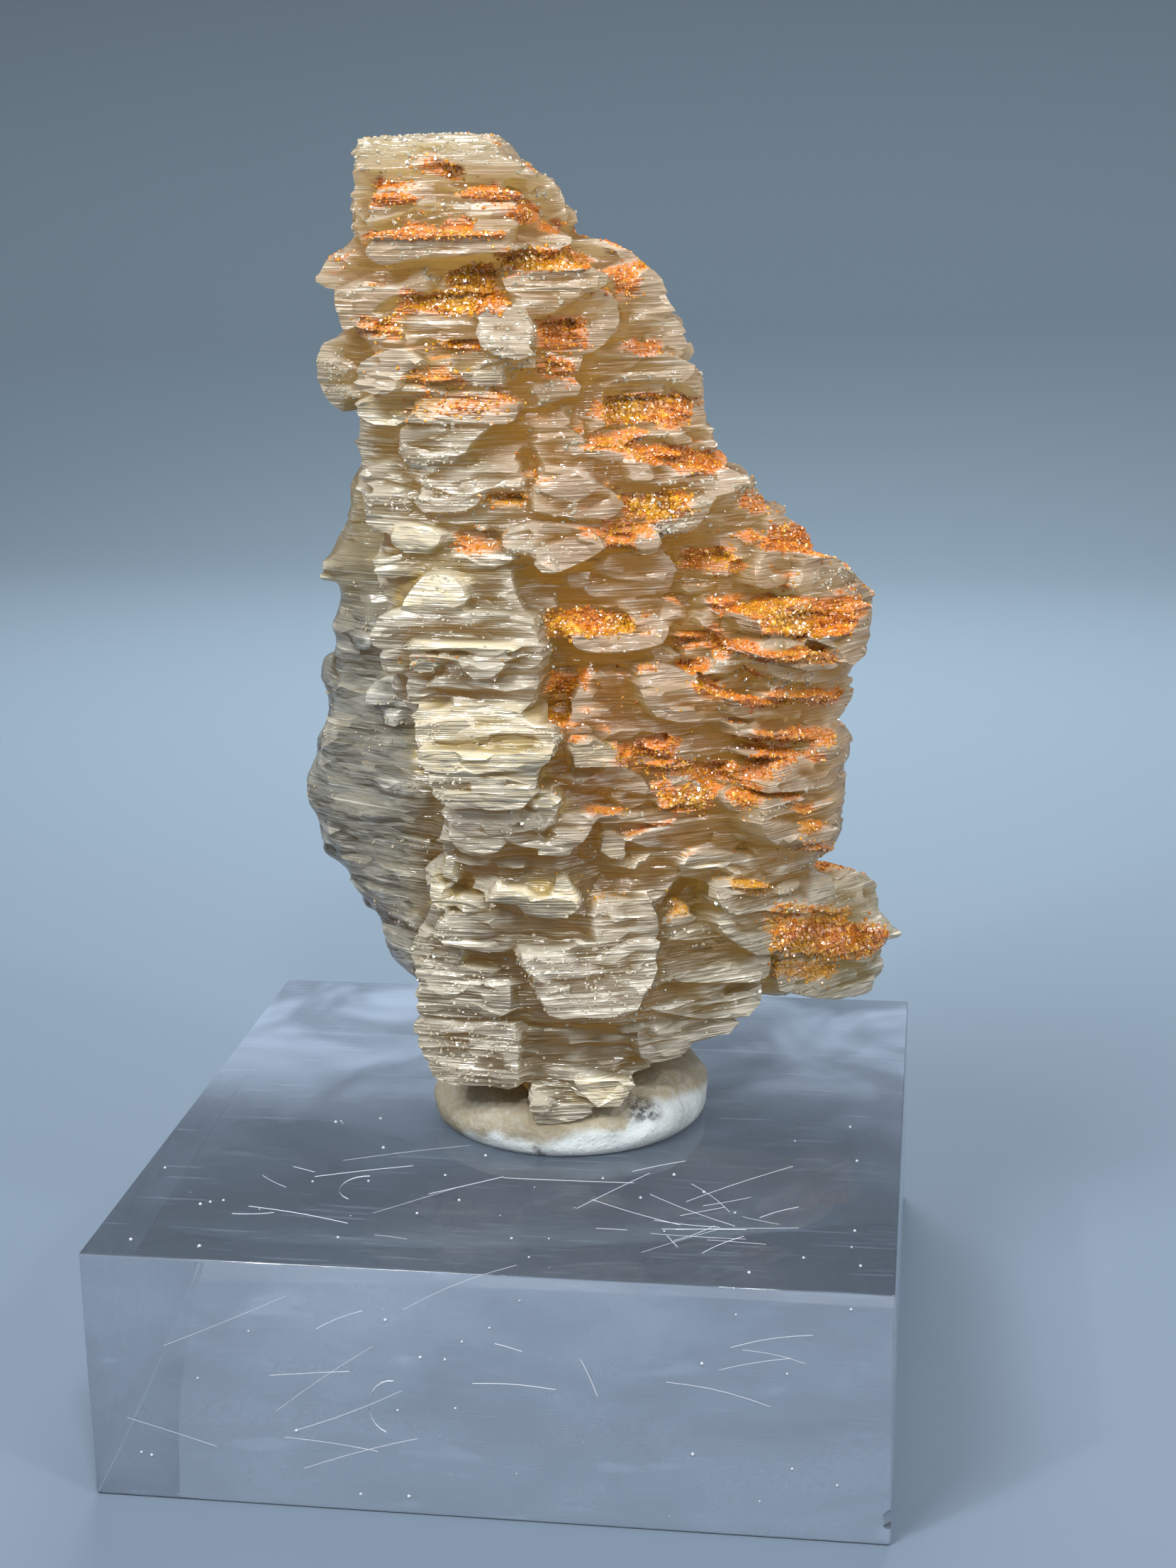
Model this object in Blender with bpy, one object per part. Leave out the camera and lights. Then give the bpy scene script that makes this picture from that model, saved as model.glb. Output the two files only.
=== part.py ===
# Cerussite with wulfenite, fixed with a pad of putty to a clear acrylic block.
# Units in the tables are millimetres. The origin is under the middle of the block, +Z is up,
# +X is to the right of the specimen's face and -Y is towards someone who looks at it.

import math
import random

import bmesh
import bpy
from mathutils import Vector

MM = 0.001
GAP = 0.3

# Clear block
BASE_SIDE = 38.1
BASE_HEIGHT = 12.7
BASE_EDGE = 0.15

# Putty pad: middle, reach to each side, thickness
PAD_CENTRE = (1.4, 1.0)
PAD_RADIUS = 7.6
PAD_LIFT = 3.6
PAD_SIDES = 28

# Specimen
FOOT_LOW = BASE_HEIGHT + 1.0
SEED = 11
CRYSTAL_GRAIN = 0.25
CRYSTAL_TRIANGLES = 9000

# Plan outline of a plate, seen from above, as shares of its half width: how far the point is set
# back from the nose and how far it lies to the side. The two ends run back into the specimen.
PLATE_PLAN = ((0.5, -1.0), (0.14, -0.84), (0.02, -0.4), (0.0, 0.35), (0.12, 0.8), (0.45, 1.0))

# Upright section of each form of plate: share of its height below the top, share of its half
# width, and how far the nose is set back as a share of the half width.
FORMS = {
    "slab": ((0.0, 0.93, 0.06), (0.16, 1.0, 0.0), (0.84, 0.98, 0.02), (1.0, 0.88, 0.08)),
    "bowl": ((0.0, 0.95, 0.04), (0.14, 1.0, 0.0), (0.5, 0.88, 0.03), (0.8, 0.66, 0.07), (1.0, 0.36, 0.14)),
    "dome": ((0.0, 0.36, 0.14), (0.2, 0.66, 0.06), (0.5, 0.88, 0.03), (0.86, 1.0, 0.0), (1.0, 0.94, 0.05)),
    "lens": ((0.0, 0.62, 0.1), (0.22, 0.9, 0.03), (0.5, 1.0, 0.0), (0.78, 0.88, 0.03), (1.0, 0.52, 0.12)),
}

# Bodies of the blades: facing in degrees, then height, nose x, nose y and half width per level.
FRONT_BODY = (264, (
    (16.6, -0.6, -4.8, 4.0), (18.2, -0.8, -5.0, 4.4), (21.0, -0.8, -5.0, 4.4), (25.0, -0.6, -5.0, 3.8),
    (28.5, -1.2, -5.4, 2.2), (32.0, -1.2, -6.4, 2.7), (36.0, -1.4, -6.6, 3.3), (41.0, -2.8, -5.8, 3.6),
    (48.0, -3.2, -5.4, 3.8), (54.0, -4.2, -5.2, 3.9), (58.0, -4.0, -5.0, 3.8), (62.0, -4.4, -4.2, 2.9)))
MIDDLE_BODY = (312, (
    (17.6, 5.0, -3.0, 2.8), (21.0, 6.0, -3.2, 3.2), (28.0, 6.4, -2.8, 3.0), (34.0, 7.0, -2.8, 3.2),
    (40.0, 6.4, -2.8, 3.2), (46.0, 5.8, -2.8, 3.0), (52.0, 4.4, -2.6, 2.8), (57.0, 2.8, -2.4, 2.4),
    (60.4, 0.8, -2.2, 1.8)))
RIGHT_BODY = (2, (
    (19.4, 8.8, 0.8, 1.7), (22.6, 11.0, 0.6, 1.9), (27.0, 13.8, 0.6, 2.0), (33.0, 14.8, 0.8, 2.1),
    (36.6, 14.6, 0.6, 2.0), (41.0, 15.2, 0.8, 1.9), (44.4, 12.2, 0.6, 1.8), (48.0, 8.7, 0.4, 1.9),
    (53.6, 6.6, 0.2, 1.9), (57.4, 3.6, 0.0, 1.7)))
REAR_RIGHT_BODY = (38, (
    (18.0, 9.6, 5.4, 2.0), (20.2, 15.2, 6.8, 2.3), (23.8, 15.4, 6.8, 2.4), (27.6, 10.6, 6.6, 2.6),
    (38.0, 9.4, 6.2, 2.6), (44.0, 7.4, 5.6, 2.4), (50.0, 4.8, 4.8, 2.4), (55.0, 2.6, 4.0, 2.0)))
REAR_BODY = (96, (
    (16.6, 0.8, 5.8, 3.0), (22.0, 0.2, 7.4, 3.4), (30.0, 0.0, 8.2, 3.4), (38.0, -0.8, 7.8, 3.4),
    (46.0, -1.8, 6.6, 3.2), (53.0, -3.0, 5.0, 3.0), (60.0, -4.0, 3.0, 2.4)))
REAR_LEFT_BODY = (160, (
    (18.8, -6.6, 2.8, 2.0), (22.4, -9.0, 3.8, 2.2), (27.0, -12.0, 4.6, 2.3), (32.0, -11.8, 4.6, 2.2),
    (37.0, -10.6, 4.4, 2.1), (43.0, -10.2, 4.0, 1.9), (48.0, -8.8, 3.0, 1.9), (54.0, -8.2, 1.6, 1.9),
    (59.0, -7.0, 0.4, 1.7)))

# Plates of the front blade: nose x, nose y, top, low, half width, facing, form
FRONT_PLATES = (
    (-4.6, -5.2, 63.1, 61.3, 3.2, 264, "slab"),
    (-5.7, -5.4, 61.5, 58.2, 2.3, 258, "slab"),
    (-2.4, -5.8, 61.1, 60.3, 3.3, 268, "slab"),
    (-3.0, -6.2, 60.1, 58.8, 3.7, 266, "slab"),
    (0.2, -4.4, 61.9, 60.2, 1.8, 286, "dome"),
    (1.5, -3.8, 60.3, 58.4, 1.7, 294, "lens"),
    (-2.4, -7.2, 58.9, 57.4, 4.0, 270, "lens"),
    (1.5, -6.0, 58.5, 57.7, 1.9, 282, "bowl"),
    (-8.8, -4.0, 58.0, 56.5, 2.0, 232, "lens"),
    (-5.0, -6.4, 57.3, 55.3, 3.2, 262, "bowl"),
    (2.6, -6.3, 57.1, 55.2, 2.7, 278, "bowl"),
    (-5.0, -6.6, 55.1, 53.9, 3.3, 262, "bowl"),
    (-1.4, -6.4, 55.6, 54.1, 1.7, 270, "slab"),
    (0.3, -7.6, 55.6, 53.2, 1.5, 275, "dome"),
    (3.6, -5.0, 55.0, 52.4, 2.3, 294, "bowl"),
    (-9.0, -3.6, 53.9, 51.2, 2.0, 232, "lens"),
    (-5.1, -7.0, 53.5, 51.0, 1.7, 258, "slab"),
    (-1.9, -6.9, 53.4, 51.8, 2.1, 272, "slab"),
    (1.8, -6.2, 52.7, 50.9, 2.1, 282, "bowl"),
    (-2.2, -6.7, 51.5, 50.1, 2.7, 268, "dome"),
    (-6.6, -5.6, 51.0, 49.9, 1.8, 248, "bowl"),
    (1.8, -5.7, 50.5, 48.5, 2.0, 284, "slab"),
    (-3.0, -6.6, 49.8, 48.3, 2.9, 266, "bowl"),
    (-6.9, -5.0, 49.8, 48.0, 1.9, 244, "lens"),
    (-2.6, -6.6, 47.9, 46.3, 2.1, 264, "slab"),
    (3.3, -6.0, 48.1, 45.6, 2.4, 286, "dome"),
    (-6.6, -5.0, 47.8, 45.5, 2.0, 246, "slab"),
    (0.1, -6.2, 46.9, 45.2, 2.2, 272, "slab"),
    (-5.1, -6.4, 45.4, 44.0, 1.9, 256, "lens"),
    (0.8, -6.7, 45.2, 43.9, 1.8, 274, "bowl"),
    (2.8, -6.5, 45.1, 42.9, 1.9, 284, "bowl"),
    (-2.4, -6.4, 44.6, 43.0, 2.8, 266, "bowl"),
    (-6.2, -5.2, 43.6, 41.4, 1.7, 248, "slab"),
    (-3.7, -6.9, 42.9, 41.2, 1.7, 264, "dome"),
    (-1.0, -6.3, 43.4, 41.3, 1.6, 274, "slab"),
    (-2.6, -7.4, 41.1, 39.7, 3.9, 266, "slab"),
    (-2.3, -7.7, 39.5, 38.2, 2.9, 266, "slab"),
    (-2.0, -7.3, 38.1, 36.6, 3.3, 268, "bowl"),
    (-5.6, -6.0, 38.2, 36.0, 1.3, 246, "lens"),
    (-1.3, -8.2, 36.2, 34.6, 3.7, 268, "slab"),
    (-1.2, -8.4, 34.6, 32.9, 3.3, 268, "bowl"),
    (-1.3, -8.1, 32.9, 31.1, 2.7, 268, "bowl"),
    (0.8, -7.4, 31.8, 29.3, 1.4, 282, "bowl"),
    (-1.7, -7.7, 31.0, 28.7, 2.1, 264, "bowl"),
    (2.6, -6.8, 31.7, 29.2, 1.3, 288, "bowl"),
)

# Plates in the middle of the face, between the front and the right blade
MIDDLE_PLATES = (
    (5.6, -3.0, 57.6, 55.0, 1.8, 314, "lens"),
    (6.3, -2.8, 54.8, 52.9, 2.1, 318, "bowl"),
    (6.4, -3.0, 52.7, 51.3, 2.5, 308, "slab"),
    (6.9, -2.8, 49.9, 47.8, 2.3, 310, "slab"),
    (6.3, -4.4, 47.5, 46.4, 3.0, 300, "slab"),
    (7.8, -4.2, 46.3, 44.2, 2.1, 306, "bowl"),
    (5.7, -5.0, 45.0, 44.0, 2.2, 292, "slab"),
    (6.4, -4.4, 43.9, 42.3, 1.8, 296, "bowl"),
    (4.7, -5.2, 42.1, 41.5, 2.4, 288, "slab"),
    (5.4, -5.3, 40.1, 38.9, 2.6, 290, "bowl"),
    (2.6, -4.0, 39.4, 37.5, 1.8, 278, "bowl"),
    (4.9, -4.8, 38.3, 35.2, 2.2, 280, "slab"),
    (6.8, -4.5, 38.4, 37.2, 1.4, 296, "dome"),
    (7.6, -5.0, 37.0, 34.5, 2.6, 296, "bowl"),
    (3.9, -6.4, 35.0, 33.6, 1.7, 280, "dome"),
    (8.3, -4.0, 34.9, 32.6, 2.9, 304, "dome"),
    (4.4, -5.6, 33.4, 31.2, 2.8, 282, "slab"),
    (7.8, -4.7, 32.4, 30.0, 2.0, 296, "slab"),
    (10.3, -3.6, 31.6, 29.6, 1.6, 312, "bowl"),
    (5.1, -5.4, 30.4, 28.9, 1.4, 284, "slab"),
    (7.6, -4.4, 29.6, 28.3, 2.7, 298, "slab"),
    (9.1, -3.8, 28.0, 26.6, 2.5, 304, "bowl"),
    (4.2, -6.2, 26.4, 23.5, 3.1, 280, "slab"),
    (3.9, -6.5, 23.4, 20.0, 3.2, 278, "bowl"),
    (9.5, -3.2, 24.0, 20.0, 2.8, 302, "bowl"),
    (5.8, -4.4, 20.6, 17.9, 2.8, 292, "bowl"),
)

# Plates of the right blade
RIGHT_PLATES = (
    (7.6, -1.0, 54.9, 53.0, 1.9, 336, "bowl"),
    (8.4, -0.8, 52.2, 50.2, 2.0, 338, "slab"),
    (9.0, -0.6, 49.8, 47.9, 1.9, 340, "lens"),
    (10.6, -2.2, 47.3, 44.9, 1.9, 318, "lens"),
    (13.0, 0.2, 45.4, 43.7, 1.9, 350, "bowl"),
    (11.4, -2.6, 44.0, 42.2, 2.2, 304, "bowl"),
    (14.6, -1.2, 43.4, 41.7, 2.1, 322, "dome"),
    (10.1, -2.9, 41.8, 38.8, 2.1, 300, "lens"),
    (16.5, -0.2, 41.4, 39.6, 2.3, 340, "slab"),
    (16.2, -0.4, 39.2, 36.3, 2.4, 336, "bowl"),
    (13.3, -2.7, 38.9, 36.7, 2.2, 300, "bowl"),
    (10.2, -3.2, 38.2, 37.0, 1.5, 300, "bowl"),
    (14.7, -1.0, 36.0, 34.4, 2.6, 326, "bowl"),
    (12.0, -2.6, 35.9, 34.4, 2.3, 302, "slab"),
    (16.2, 0.0, 34.2, 32.1, 2.4, 344, "lens"),
    (13.4, -2.5, 33.0, 30.4, 2.6, 304, "bowl"),
    (15.8, -0.2, 31.7, 30.0, 2.4, 340, "slab"),
    (13.5, -2.5, 29.9, 28.2, 2.1, 304, "bowl"),
    (15.6, -0.2, 29.4, 27.2, 2.4, 336, "bowl"),
    (12.6, -2.2, 27.3, 24.4, 3.0, 308, "bowl"),
    (11.7, -1.8, 24.2, 22.2, 2.2, 312, "bowl"),
)

# Plates of the low wing at the right rear and of the left rear blade
REAR_RIGHT_PLATES = (
    (16.9, 7.4, 24.8, 22.7, 2.6, 24, "dome"),
    (18.0, 7.6, 22.4, 20.9, 2.7, 22, "slab"),
    (17.3, 7.4, 20.7, 18.6, 2.5, 20, "bowl"),
    (13.6, 5.4, 19.4, 17.6, 2.4, 350, "bowl"),
)
REAR_LEFT_PLATES = (
    (-9.9, 3.6, 47.0, 45.0, 1.9, 190, "lens"),
    (-11.4, 4.4, 43.4, 41.5, 1.9, 186, "dome"),
    (-11.2, 4.2, 41.2, 38.2, 2.0, 196, "slab"),
    (-9.6, 1.4, 39.6, 37.0, 1.9, 226, "bowl"),
    (-12.8, 5.0, 36.6, 34.9, 2.1, 190, "dome"),
    (-12.4, 4.8, 34.7, 32.8, 2.4, 196, "bowl"),
    (-9.4, 1.4, 35.4, 33.0, 2.2, 232, "slab"),
    (-13.2, 5.0, 32.4, 30.3, 2.4, 190, "dome"),
    (-10.2, 1.6, 32.4, 29.8, 2.4, 230, "lens"),
    (-13.8, 5.0, 30.1, 27.9, 2.6, 190, "slab"),
    (-10.4, 1.4, 29.2, 26.8, 2.6, 230, "bowl"),
    (-13.1, 4.8, 27.7, 25.0, 2.6, 192, "bowl"),
    (-9.6, 1.2, 26.2, 23.6, 2.3, 232, "slab"),
    (-10.9, 4.2, 24.8, 22.0, 2.3, 196, "bowl"),
    (-8.2, 1.6, 22.6, 19.4, 2.2, 216, "bowl"),
)

# Low plates of the front blade, over the putty
FOOT_PLATES = (
    (-4.4, -5.4, 28.3, 25.9, 1.3, 250, "lens"),
    (0.4, -6.6, 27.6, 25.6, 2.7, 272, "slab"),
    (-0.8, -6.1, 25.7, 23.6, 3.6, 268, "slab"),
    (-4.4, -5.5, 25.1, 22.4, 1.9, 250, "lens"),
    (-2.8, -6.0, 22.6, 20.6, 2.9, 260, "slab"),
    (-3.1, -5.8, 20.4, 18.3, 2.9, 258, "slab"),
    (-3.2, -5.4, 18.2, 16.3, 2.5, 258, "bowl"),
    (2.6, -5.9, 17.4, 15.4, 2.2, 276, "slab"),
    (1.9, -5.6, 15.9, 13.9, 1.6, 272, "bowl"),
)

# Hollows: name of the crust that lines it, opening x, opening y, top, low, half width, facing, depth
HOLLOWS = (
    ("wulfenite_crust_upper", -1.6, -7.6, 56.9, 55.3, 2.2, 268, 4.0),
    ("wulfenite_crust_under_lens", 2.0, -6.9, 58.2, 56.8, 1.7, 280, 3.2),
    ("wulfenite_crust_right_recess", 6.7, -4.0, 51.3, 49.7, 2.0, 312, 4.0),
    ("wulfenite_crust_right_ledge", 6.9, -5.2, 46.4, 44.9, 1.7, 306, 3.2),
    ("wulfenite_crust_centre", 3.8, -6.2, 41.5, 40.0, 2.3, 284, 4.0),
    ("wulfenite_crust_wing", 16.2, -2.6, 41.0, 39.3, 1.9, 326, 3.4),
    ("wulfenite_crust_gold", 8.0, -6.4, 31.6, 30.0, 1.5, 300, 3.0),
    ("wulfenite_crust_low_wing", 17.2, 4.2, 23.2, 21.6, 1.9, 340, 3.2),
    ("", 1.9, -5.2, 37.0, 35.2, 0.9, 284, 3.0),
)
CRUST_DEPTH = 0.55

# Seeded plates that fill the blades between the named ones: greatest thickness
FILL_STEP = 2.6
FLANK_ROOT = 3.0


def spine(height):
    # Middle of the specimen at a height: it leans to the left towards the top
    share = (height - FOOT_LOW) / 50.0
    return Vector((1.2 - 3.4 * share, 0.4 + 0.2 * share))


def reach_back(x, y, height, facing):
    # How far a plate runs from its nose to the middle of the specimen
    outward = Vector((math.cos(math.radians(facing)), math.sin(math.radians(facing))))
    return max((Vector((x, y)) - spine(height)).dot(outward), 2.0) + 0.4


def ring(x, y, height, half, facing, back, setback, wobble):
    # One level of a plate: a rounded nose and two sides that run back
    angle = math.radians(facing)
    outward = Vector((math.cos(angle), math.sin(angle)))
    aside = Vector((-outward.y, outward.x))
    nose = Vector((x, y)) - outward * setback
    points = []
    for (behind, lateral), shift in zip(PLATE_PLAN, wobble):
        flat = nose - outward * (behind * half * (1.0 - shift)) + aside * (lateral * half * (1.0 + shift))
        points.append(Vector((flat.x, flat.y, height)))
    for lateral in (0.82, -0.82):
        flat = Vector((x, y)) - outward * back + aside * (lateral * half)
        points.append(Vector((flat.x, flat.y, height)))
    return points


def skin(bm, rings):
    # Closed body through a list of rings, highest ring last
    rows = [[bm.verts.new(point * MM) for point in points] for points in rings]
    count = len(rows[0])
    for lower, upper in zip(rows, rows[1:]):
        for i in range(count):
            j = (i + 1) % count
            bm.faces.new((lower[i], lower[j], upper[j], upper[i]))
    bm.faces.new(list(reversed(rows[0])))
    bm.faces.new(rows[-1])


def add_plate(bm, rng, plate, back=None, rough=0.16):
    x, y, top, low, half, facing, form = plate
    if back is None:
        back = reach_back(x, y, 0.5 * (top + low), facing)
    wobble = [rng.uniform(-rough, rough) for _ in PLATE_PLAN]
    tilt = rng.uniform(-1.0, 1.0) * 0.2 * rough
    lean = rng.uniform(-1.0, 1.0) * 2.2 * rough * half
    aside = (-math.sin(math.radians(facing)), math.cos(math.radians(facing)))
    rings = []
    for share, width, setback in reversed(FORMS[form]):
        height = top - share * (top - low)
        slip = lean * (1.0 - width)
        points = ring(x + slip * aside[0], y + slip * aside[1], height, half * width, facing, back,
                      half * setback, wobble)
        for point in points:
            point.z += tilt * (point.x - x)
        rings.append(points)
    skin(bm, rings)


def add_blade_body(bm, rng, body):
    facing, levels = body
    rings = []
    for height, x, y, half in levels:
        wobble = [rng.uniform(-0.06, 0.06) for _ in PLATE_PLAN]
        back = reach_back(x, y, height, facing)
        rings.append(ring(x, y, height, half, facing, back, 0.0, wobble))
    skin(bm, rings)


def body_at(body, height):
    # Nose and half width of a blade's body at a height between its levels
    facing, levels = body
    for lower, upper in zip(levels, levels[1:]):
        if lower[0] <= height <= upper[0]:
            share = (height - lower[0]) / (upper[0] - lower[0])
            return [a + share * (b - a) for a, b in zip(lower, upper)]
    return list(levels[-1] if height > levels[-1][0] else levels[0])


def fill_plates(rng, body, stand_out):
    # Plates stacked up a blade from low to top, each turned and shifted a little
    facing, levels = body
    height = levels[0][0] + 1.0
    plates = []
    while height < levels[-1][0]:
        thick = rng.uniform(1.2, FILL_STEP)
        middle = height + 0.5 * thick
        _, x, y, half = body_at(body, middle)
        turn = rng.uniform(-16, 16)
        aside = rng.uniform(-0.35, 0.35) * half
        angle = math.radians(facing)
        out = rng.uniform(0.2, 1.0) * stand_out
        nose_x = x + out * math.cos(angle) - aside * math.sin(angle)
        nose_y = y + out * math.sin(angle) + aside * math.cos(angle)
        form = rng.choice(("bowl", "lens", "slab", "dome", "bowl"))
        plates.append((nose_x, nose_y, height + thick, height, half * rng.uniform(0.55, 0.95),
                       facing + turn, form))
        height += thick + rng.uniform(0.05, 0.35)
    return plates


def flank_plates(rng, body, side):
    # Plates on one flank of a blade, at varying distances behind its nose; side is 1 or -1
    facing, levels = body
    angle = math.radians(facing)
    height = levels[0][0] + rng.uniform(0.5, 1.5)
    plates = []
    while height < levels[-1][0] - 1.0:
        thick = rng.uniform(1.2, FILL_STEP)
        _, x, y, half = body_at(body, height + 0.5 * thick)
        reach = reach_back(x, y, height, facing)
        behind = rng.uniform(0.15, 0.65) * reach
        aside = side * (half + rng.uniform(0.2, 0.9))
        nose_x = x - behind * math.cos(angle) - aside * math.sin(angle)
        nose_y = y - behind * math.sin(angle) + aside * math.cos(angle)
        form = rng.choice(("bowl", "lens", "slab", "dome"))
        plates.append((nose_x, nose_y, height + thick, height, rng.uniform(0.18, 0.32) * reach + 0.6,
                       facing + side * rng.uniform(68, 100), form))
        height += thick + rng.uniform(0.1, 0.5)
    return plates


def add_round_loft(bm, levels, sides=14, grow=0.0):
    # Upright body from ellipses: height, middle x, middle y, half size in x and in y
    rings = []
    for height, x, y, half_x, half_y in levels:
        rings.append([Vector((x + (half_x + grow) * math.cos(math.tau * i / sides),
                              y + (half_y + grow) * math.sin(math.tau * i / sides), height))
                      for i in range(sides)])
    skin(bm, rings)


FOOT_LEVELS = (
    (FOOT_LOW, 2.4, -0.7, 2.6, 4.2), (15.2, 2.1, -0.4, 3.4, 4.9), (16.8, 1.4, -0.1, 4.8, 5.3),
    (18.8, 1.0, 0.2, 6.0, 5.6), (22.0, 0.8, 0.4, 5.4, 5.4), (34.0, 0.0, 0.4, 4.4, 4.6),
    (48.0, -1.2, 0.2, 3.8, 3.8), (60.6, -2.6, -0.6, 2.6, 2.6))
PIT_LEVELS = (
    (FOOT_LOW - GAP, 2.4, -1.1, 3.0, 5.0), (15.2, 2.1, -0.9, 3.9, 5.8), (16.8, 1.4, -0.5, 5.4, 6.2),
    (19.0, 1.0, 0.0, 6.6, 6.6))


def new_object(name, bm, colour, roughness, metallic=0.0, smooth=False):
    mesh = bpy.data.meshes.new(name)
    bmesh.ops.recalc_face_normals(bm, faces=bm.faces)
    bm.to_mesh(mesh)
    bm.free()
    if smooth:
        mesh.shade_smooth()
        mesh.set_sharp_from_angle(angle=math.radians(40))
    item = bpy.data.objects.new(name, mesh)
    bpy.context.scene.collection.objects.link(item)
    material = bpy.data.materials.new(name)
    material.use_nodes = True
    shader = material.node_tree.nodes["Principled BSDF"]
    shader.inputs["Base Color"].default_value = (*colour, 1.0)
    shader.inputs["Roughness"].default_value = roughness
    shader.inputs["Metallic"].default_value = metallic
    mesh.materials.append(material)
    return item


def boolean(item, other, operation, use_self=False):
    # Boolean of two objects, written into the first one's mesh; the second is removed
    modifier = item.modifiers.new(operation, "BOOLEAN")
    modifier.operation = operation
    modifier.object = other
    modifier.solver = "EXACT"
    modifier.use_self = use_self
    apply_modifiers(item)
    bpy.data.objects.remove(other)


def tidy_mesh(item, merge):
    # Drops slivers left by a cut and keeps the largest closed body
    bm = bmesh.new()
    bm.from_mesh(item.data)
    bmesh.ops.remove_doubles(bm, verts=bm.verts, dist=merge * MM)
    bmesh.ops.dissolve_degenerate(bm, edges=bm.edges, dist=merge * MM)
    bmesh.ops.triangulate(bm, faces=bm.faces)
    islands = []
    unseen = set(bm.verts)
    while unseen:
        start = unseen.pop()
        island = [start]
        stack = [start]
        while stack:
            vertex = stack.pop()
            for edge in vertex.link_edges:
                other = edge.other_vert(vertex)
                if other in unseen:
                    unseen.remove(other)
                    island.append(other)
                    stack.append(other)
        islands.append(island)
    islands.sort(key=len, reverse=True)
    for island in islands[1:]:
        bmesh.ops.delete(bm, geom=island, context="VERTS")
    bm.to_mesh(item.data)
    bm.free()


def apply_modifiers(item):
    graph = bpy.context.evaluated_depsgraph_get()
    result = bpy.data.meshes.new_from_object(item.evaluated_get(graph))
    item.modifiers.clear()
    old = item.data
    item.data = result
    bpy.data.meshes.remove(old)


def voxel_remesh(item, grain):
    # Joins shells that run through each other and breaks their sharp seams a little
    remesh = item.modifiers.new("grain", "REMESH")
    remesh.mode = "VOXEL"
    remesh.voxel_size = grain * MM
    apply_modifiers(item)


def flatten_to_facets(item, triangles):
    count = sum(len(face.vertices) - 2 for face in item.data.polygons)
    facets = item.modifiers.new("facets", "DECIMATE")
    facets.ratio = triangles / count
    facets.use_collapse_triangulate = True
    apply_modifiers(item)


def make_base():
    bm = bmesh.new()
    bmesh.ops.create_cube(bm, size=1.0)
    bmesh.ops.scale(bm, verts=bm.verts, vec=(BASE_SIDE * MM, BASE_SIDE * MM, BASE_HEIGHT * MM))
    bmesh.ops.translate(bm, verts=bm.verts, vec=(0, 0, 0.5 * BASE_HEIGHT * MM))
    bmesh.ops.bevel(bm, geom=bm.edges, offset=BASE_EDGE * MM, segments=1, profile=0.5, affect="EDGES",
                    material=-1)
    return new_object("acrylic_base", bm, (0.86, 0.9, 0.93), 0.05)


def make_putty(rng):
    # A hand-rolled bun, low at the front where the specimen leans out over it
    low = BASE_HEIGHT + GAP
    sections = ((0.0, 0.9), (0.14, 0.98), (0.38, 1.0), (0.64, 0.94), (0.86, 0.8), (1.0, 0.6))
    lumps = [rng.uniform(-0.02, 0.02) for _ in range(PAD_SIDES)]
    bm = bmesh.new()
    rings = []
    for lift, width in sections:
        points = []
        for i in range(PAD_SIDES):
            angle = math.tau * i / PAD_SIDES
            rise = PAD_LIFT * (0.86 + 0.14 * math.sin(angle)) * (1.0 + 2.0 * lumps[i - 5])
            radius = PAD_RADIUS * width * (1.0 + lumps[i])
            points.append(Vector((PAD_CENTRE[0] + radius * math.cos(angle),
                                  PAD_CENTRE[1] + radius * math.sin(angle), low + rise * lift)))
        rings.append(points)
    skin(bm, rings)
    pad = new_object("mounting_putty", bm, (0.82, 0.82, 0.8), 0.85, smooth=True)
    pit = bmesh.new()
    add_round_loft(pit, PIT_LEVELS, sides=20)
    boolean(pad, new_object("foot_pit", pit, (0.5, 0.5, 0.5), 0.5), "DIFFERENCE")
    tidy_mesh(pad, 0.02)
    pad.data.shade_smooth()
    pad.data.set_sharp_from_angle(angle=math.radians(40))
    return pad


def make_cerussite(rng):
    grown = bmesh.new()
    add_round_loft(grown, FOOT_LEVELS)
    for body in (FRONT_BODY, MIDDLE_BODY, RIGHT_BODY, REAR_RIGHT_BODY, REAR_BODY, REAR_LEFT_BODY):
        add_blade_body(grown, rng, body)
    for group in (FRONT_PLATES, MIDDLE_PLATES, RIGHT_PLATES, REAR_RIGHT_PLATES, REAR_LEFT_PLATES,
                  FOOT_PLATES):
        for plate in group:
            add_plate(grown, rng, plate)
    for body, stand_out in ((FRONT_BODY, 0.7), (MIDDLE_BODY, 1.1), (RIGHT_BODY, 0.8), (REAR_BODY, 1.4),
                            (REAR_RIGHT_BODY, 1.1), (REAR_LEFT_BODY, 0.8)):
        for plate in fill_plates(rng, body, stand_out):
            add_plate(grown, rng, plate)
    for body, side in ((FRONT_BODY, -1), (RIGHT_BODY, 1), (REAR_RIGHT_BODY, -1), (REAR_RIGHT_BODY, 1),
                       (REAR_BODY, -1), (REAR_BODY, 1), (REAR_LEFT_BODY, -1), (REAR_LEFT_BODY, 1)):
        for plate in flank_plates(rng, body, side):
            add_plate(grown, rng, plate, back=FLANK_ROOT)
    crystal = new_object("cerussite", grown, (0.62, 0.52, 0.42), 0.25)
    voxel_remesh(crystal, CRYSTAL_GRAIN)
    hollows = bmesh.new()
    for _, x, y, top, low, half, facing, depth in HOLLOWS:
        add_plate(hollows, rng, (x, y, top, low, half, facing, "lens"), back=depth, rough=0.0)
    boolean(crystal, new_object("hollows", hollows, (0.5, 0.5, 0.5), 0.5), "DIFFERENCE")
    voxel_remesh(crystal, CRYSTAL_GRAIN)
    flatten_to_facets(crystal, CRYSTAL_TRIANGLES)
    return crystal


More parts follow.
